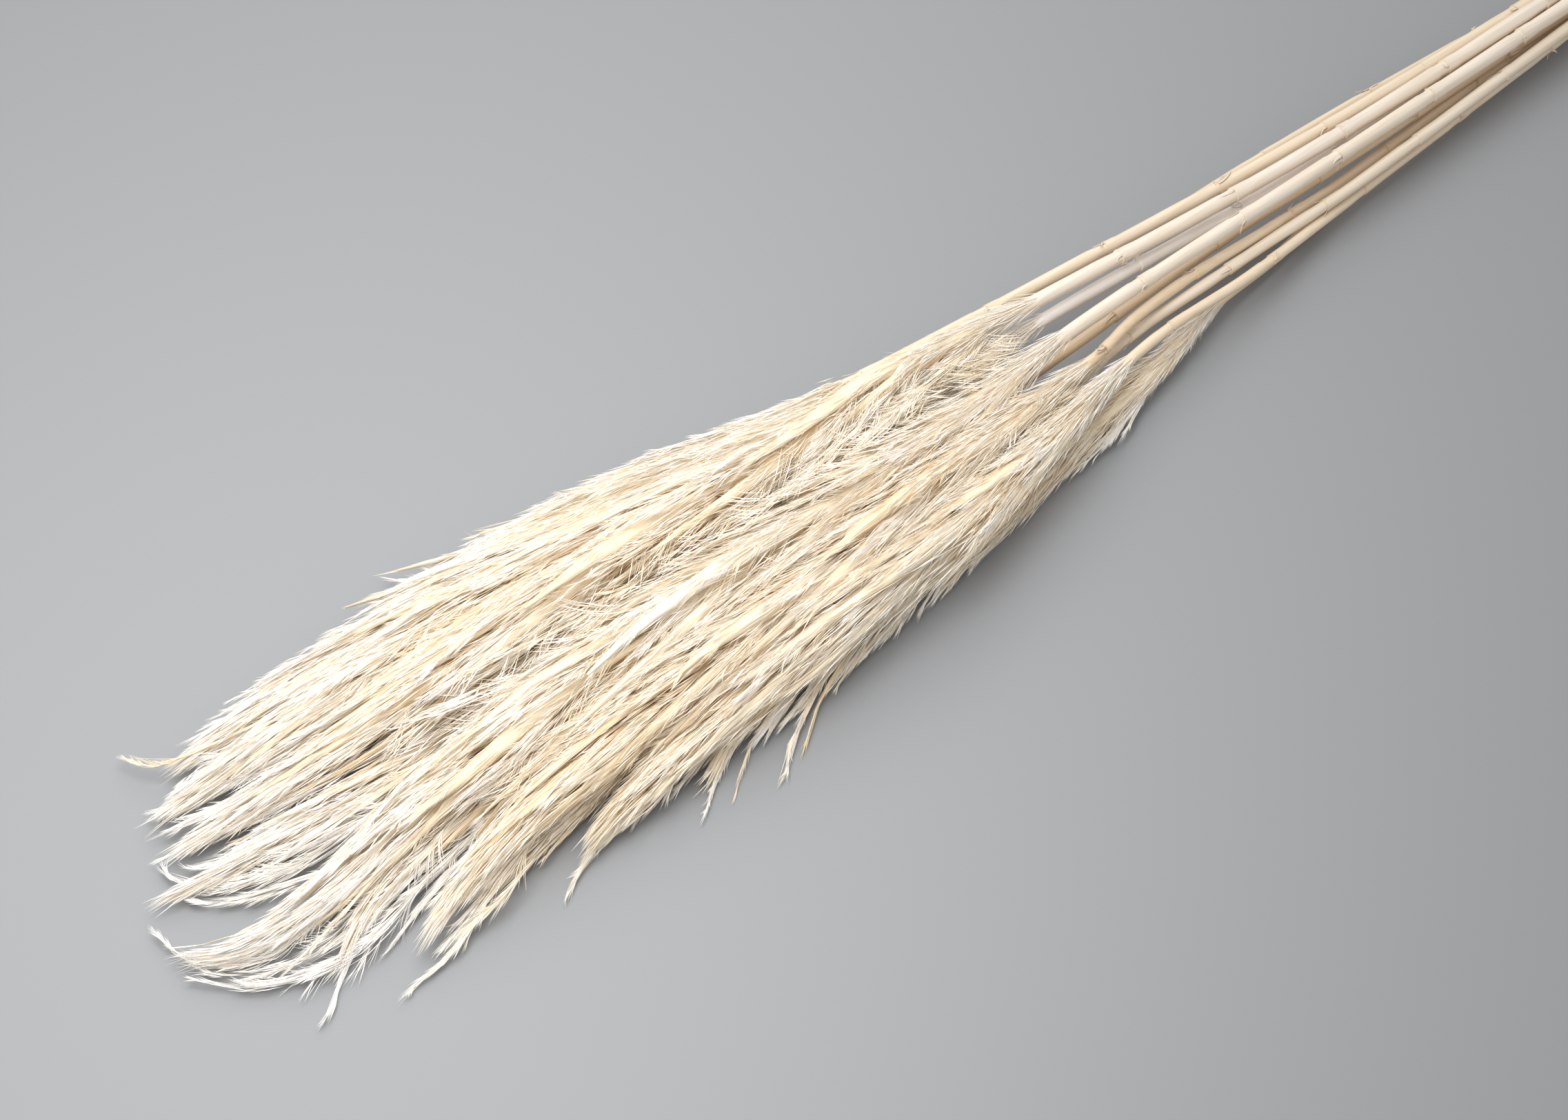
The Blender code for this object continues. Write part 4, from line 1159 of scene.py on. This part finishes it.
def plume_material():
    """Bleached plume fibre: amber to ivory by tone, with soft patches and a slight sheen. Deep and covered
    hair, darkened with painted shade, reaches the amber end.
    """
    material, tree, shader = material_with("plume_fibre", 0.5)
    tone, ramp = tone_ramp(tree, [
        (0.0, (0.87, 0.67, 0.40)), (0.3, (0.885, 0.775, 0.59)), (0.6, (0.895, 0.835, 0.73)),
        (1.0, (0.93, 0.905, 0.875)),
    ])
    patches = noise(tree, 22.0, (0.5, 1.4, 1.4), 2.0)
    varied = tree.nodes.new("ShaderNodeMath")
    varied.operation = "MULTIPLY_ADD"
    varied.inputs[1].default_value = PATCH_SHARE
    level = tree.nodes.new("ShaderNodeMath")
    level.operation = "SUBTRACT"
    level.inputs[1].default_value = PATCH_SHARE / 2
    tree.links.new(patches.outputs["Fac"], varied.inputs[0])
    tree.links.new(tone.outputs["Fac"], varied.inputs[2])
    tree.links.new(varied.outputs[0], level.inputs[0])
    tree.links.new(level.outputs[0], ramp.inputs["Fac"])
    tree.links.new(ramp.outputs["Color"], shader.inputs["Base Color"])
    shader.inputs["Specular IOR Level"].default_value = 0.3
    return material


def streaked_material(name, roughness, stops, streaks, dark, factor, bump):
    """A material coloured by tone, with fine streaks along the piece that are slightly raised.

    streaks gives the noise's scale, stretch and detail, dark says up to where on the noise the streaks
    are full, in which colour, and where they end, and bump gives their strength and their height.
    """
    material, tree, shader = material_with(name, roughness)
    tone, ramp = tone_ramp(tree, stops)
    tree.links.new(tone.outputs["Fac"], ramp.inputs["Fac"])
    lines = noise(tree, *streaks)
    bands = tree.nodes.new("ShaderNodeValToRGB")
    low, high = bands.color_ramp.elements
    low.position, low.color, high.position = dark
    high.color = (1.0, 1.0, 1.0, 1.0)
    tree.links.new(lines.outputs["Fac"], bands.inputs["Fac"])
    colour = multiplied(tree, ramp.outputs["Color"], bands.outputs["Color"], factor)
    tree.links.new(colour, shader.inputs["Base Color"])
    relief = tree.nodes.new("ShaderNodeBump")
    relief.inputs["Strength"].default_value, relief.inputs["Distance"].default_value = bump
    tree.links.new(lines.outputs["Fac"], relief.inputs["Height"])
    tree.links.new(relief.outputs["Normal"], shader.inputs["Normal"])
    return material


def culm_material():
    """Dry culm skin: satin tan to ivory, finely streaked along its length."""
    stops = [(0.0, (0.68, 0.50, 0.32)), (0.4, (0.81, 0.67, 0.50)), (0.75, (0.83, 0.735, 0.625)),
             (1.0, (0.86, 0.805, 0.765))]
    return streaked_material("culm_skin", 0.38, stops, (900.0, (0.03, 1.0, 1.0), 4.0),
                             (0.3, (0.86, 0.80, 0.70, 1.0), 0.6), 0.6, (0.25, 0.0003))


def raffia_material():
    """Raffia: pale straw strips with fine lines along them."""
    stops = [(0.0, (0.45, 0.29, 0.13)), (0.4, (0.66, 0.47, 0.25)), (0.7, (0.77, 0.60, 0.37)),
             (1.0, (0.84, 0.72, 0.50))]
    return streaked_material("raffia", 0.5, stops, (1800.0, (1.0, 0.08, 0.08), 3.0),
                             (0.35, (0.7, 0.6, 0.45, 1.0), 0.6), 0.7, (0.4, 0.0002))


def camera():
    """The camera at the photograph's angle."""
    az, el = math.radians(AZIMUTH), math.radians(ELEVATION)
    back = Vector((math.sin(az) * math.cos(el), -math.cos(az) * math.cos(el), math.sin(el)))
    data = bpy.data.cameras.new("camera")
    data.lens = LENS
    data.sensor_width = SENSOR
    view = bpy.data.objects.new("camera", data)
    view.location = Vector(to_metres(TARGET)) + back * DISTANCE
    view.rotation_euler = back.to_track_quat("Z", "Y").to_euler()
    bpy.context.scene.collection.objects.link(view)
    bpy.context.scene.camera = view


def area_light(name, place, target, size, power, colour):
    """A square soft light aimed at a point."""
    data = bpy.data.lights.new(name, "AREA")
    data.size = size
    data.energy = power
    data.color = colour
    light = bpy.data.objects.new(name, data)
    light.location = place
    light.rotation_euler = (Vector(place) - Vector(target)).to_track_quat("Z", "Y").to_euler()
    light.visible_camera = False
    bpy.context.scene.collection.objects.link(light)


def studio():
    """A plain grey floor, a soft light behind the stems, another over the plumes and an even surround."""
    bpy.ops.mesh.primitive_plane_add(size=FLOOR_WIDE, location=(0.0, 0.0, 0.0))
    floor = bpy.context.object
    floor.name = "floor"
    material, _, shader = material_with("floor_grey", 0.6)
    shader.inputs["Base Color"].default_value = FLOOR_GREY
    floor.data.materials.append(material)
    world = bpy.data.worlds.new("surround")
    world.use_nodes = True
    background = world.node_tree.nodes["Background"]
    background.inputs["Color"].default_value = (1.0, 1.0, 1.0, 1.0)
    background.inputs["Strength"].default_value = SURROUND
    bpy.context.scene.world = world
    area_light("key", **KEY)
    area_light("fill", **FILL)
    bpy.context.scene.cycles.max_bounces = BOUNCES
    bpy.context.scene.cycles.diffuse_bounces = DIFFUSE_BOUNCES
    bpy.context.scene.view_settings.view_transform = "Standard"


camera()
studio()
fibre = plume_material()
skin = culm_material()
for reed in REEDS:
    plume(reed, fibre)
    culm(reed, skin)
tie(raffia_material())
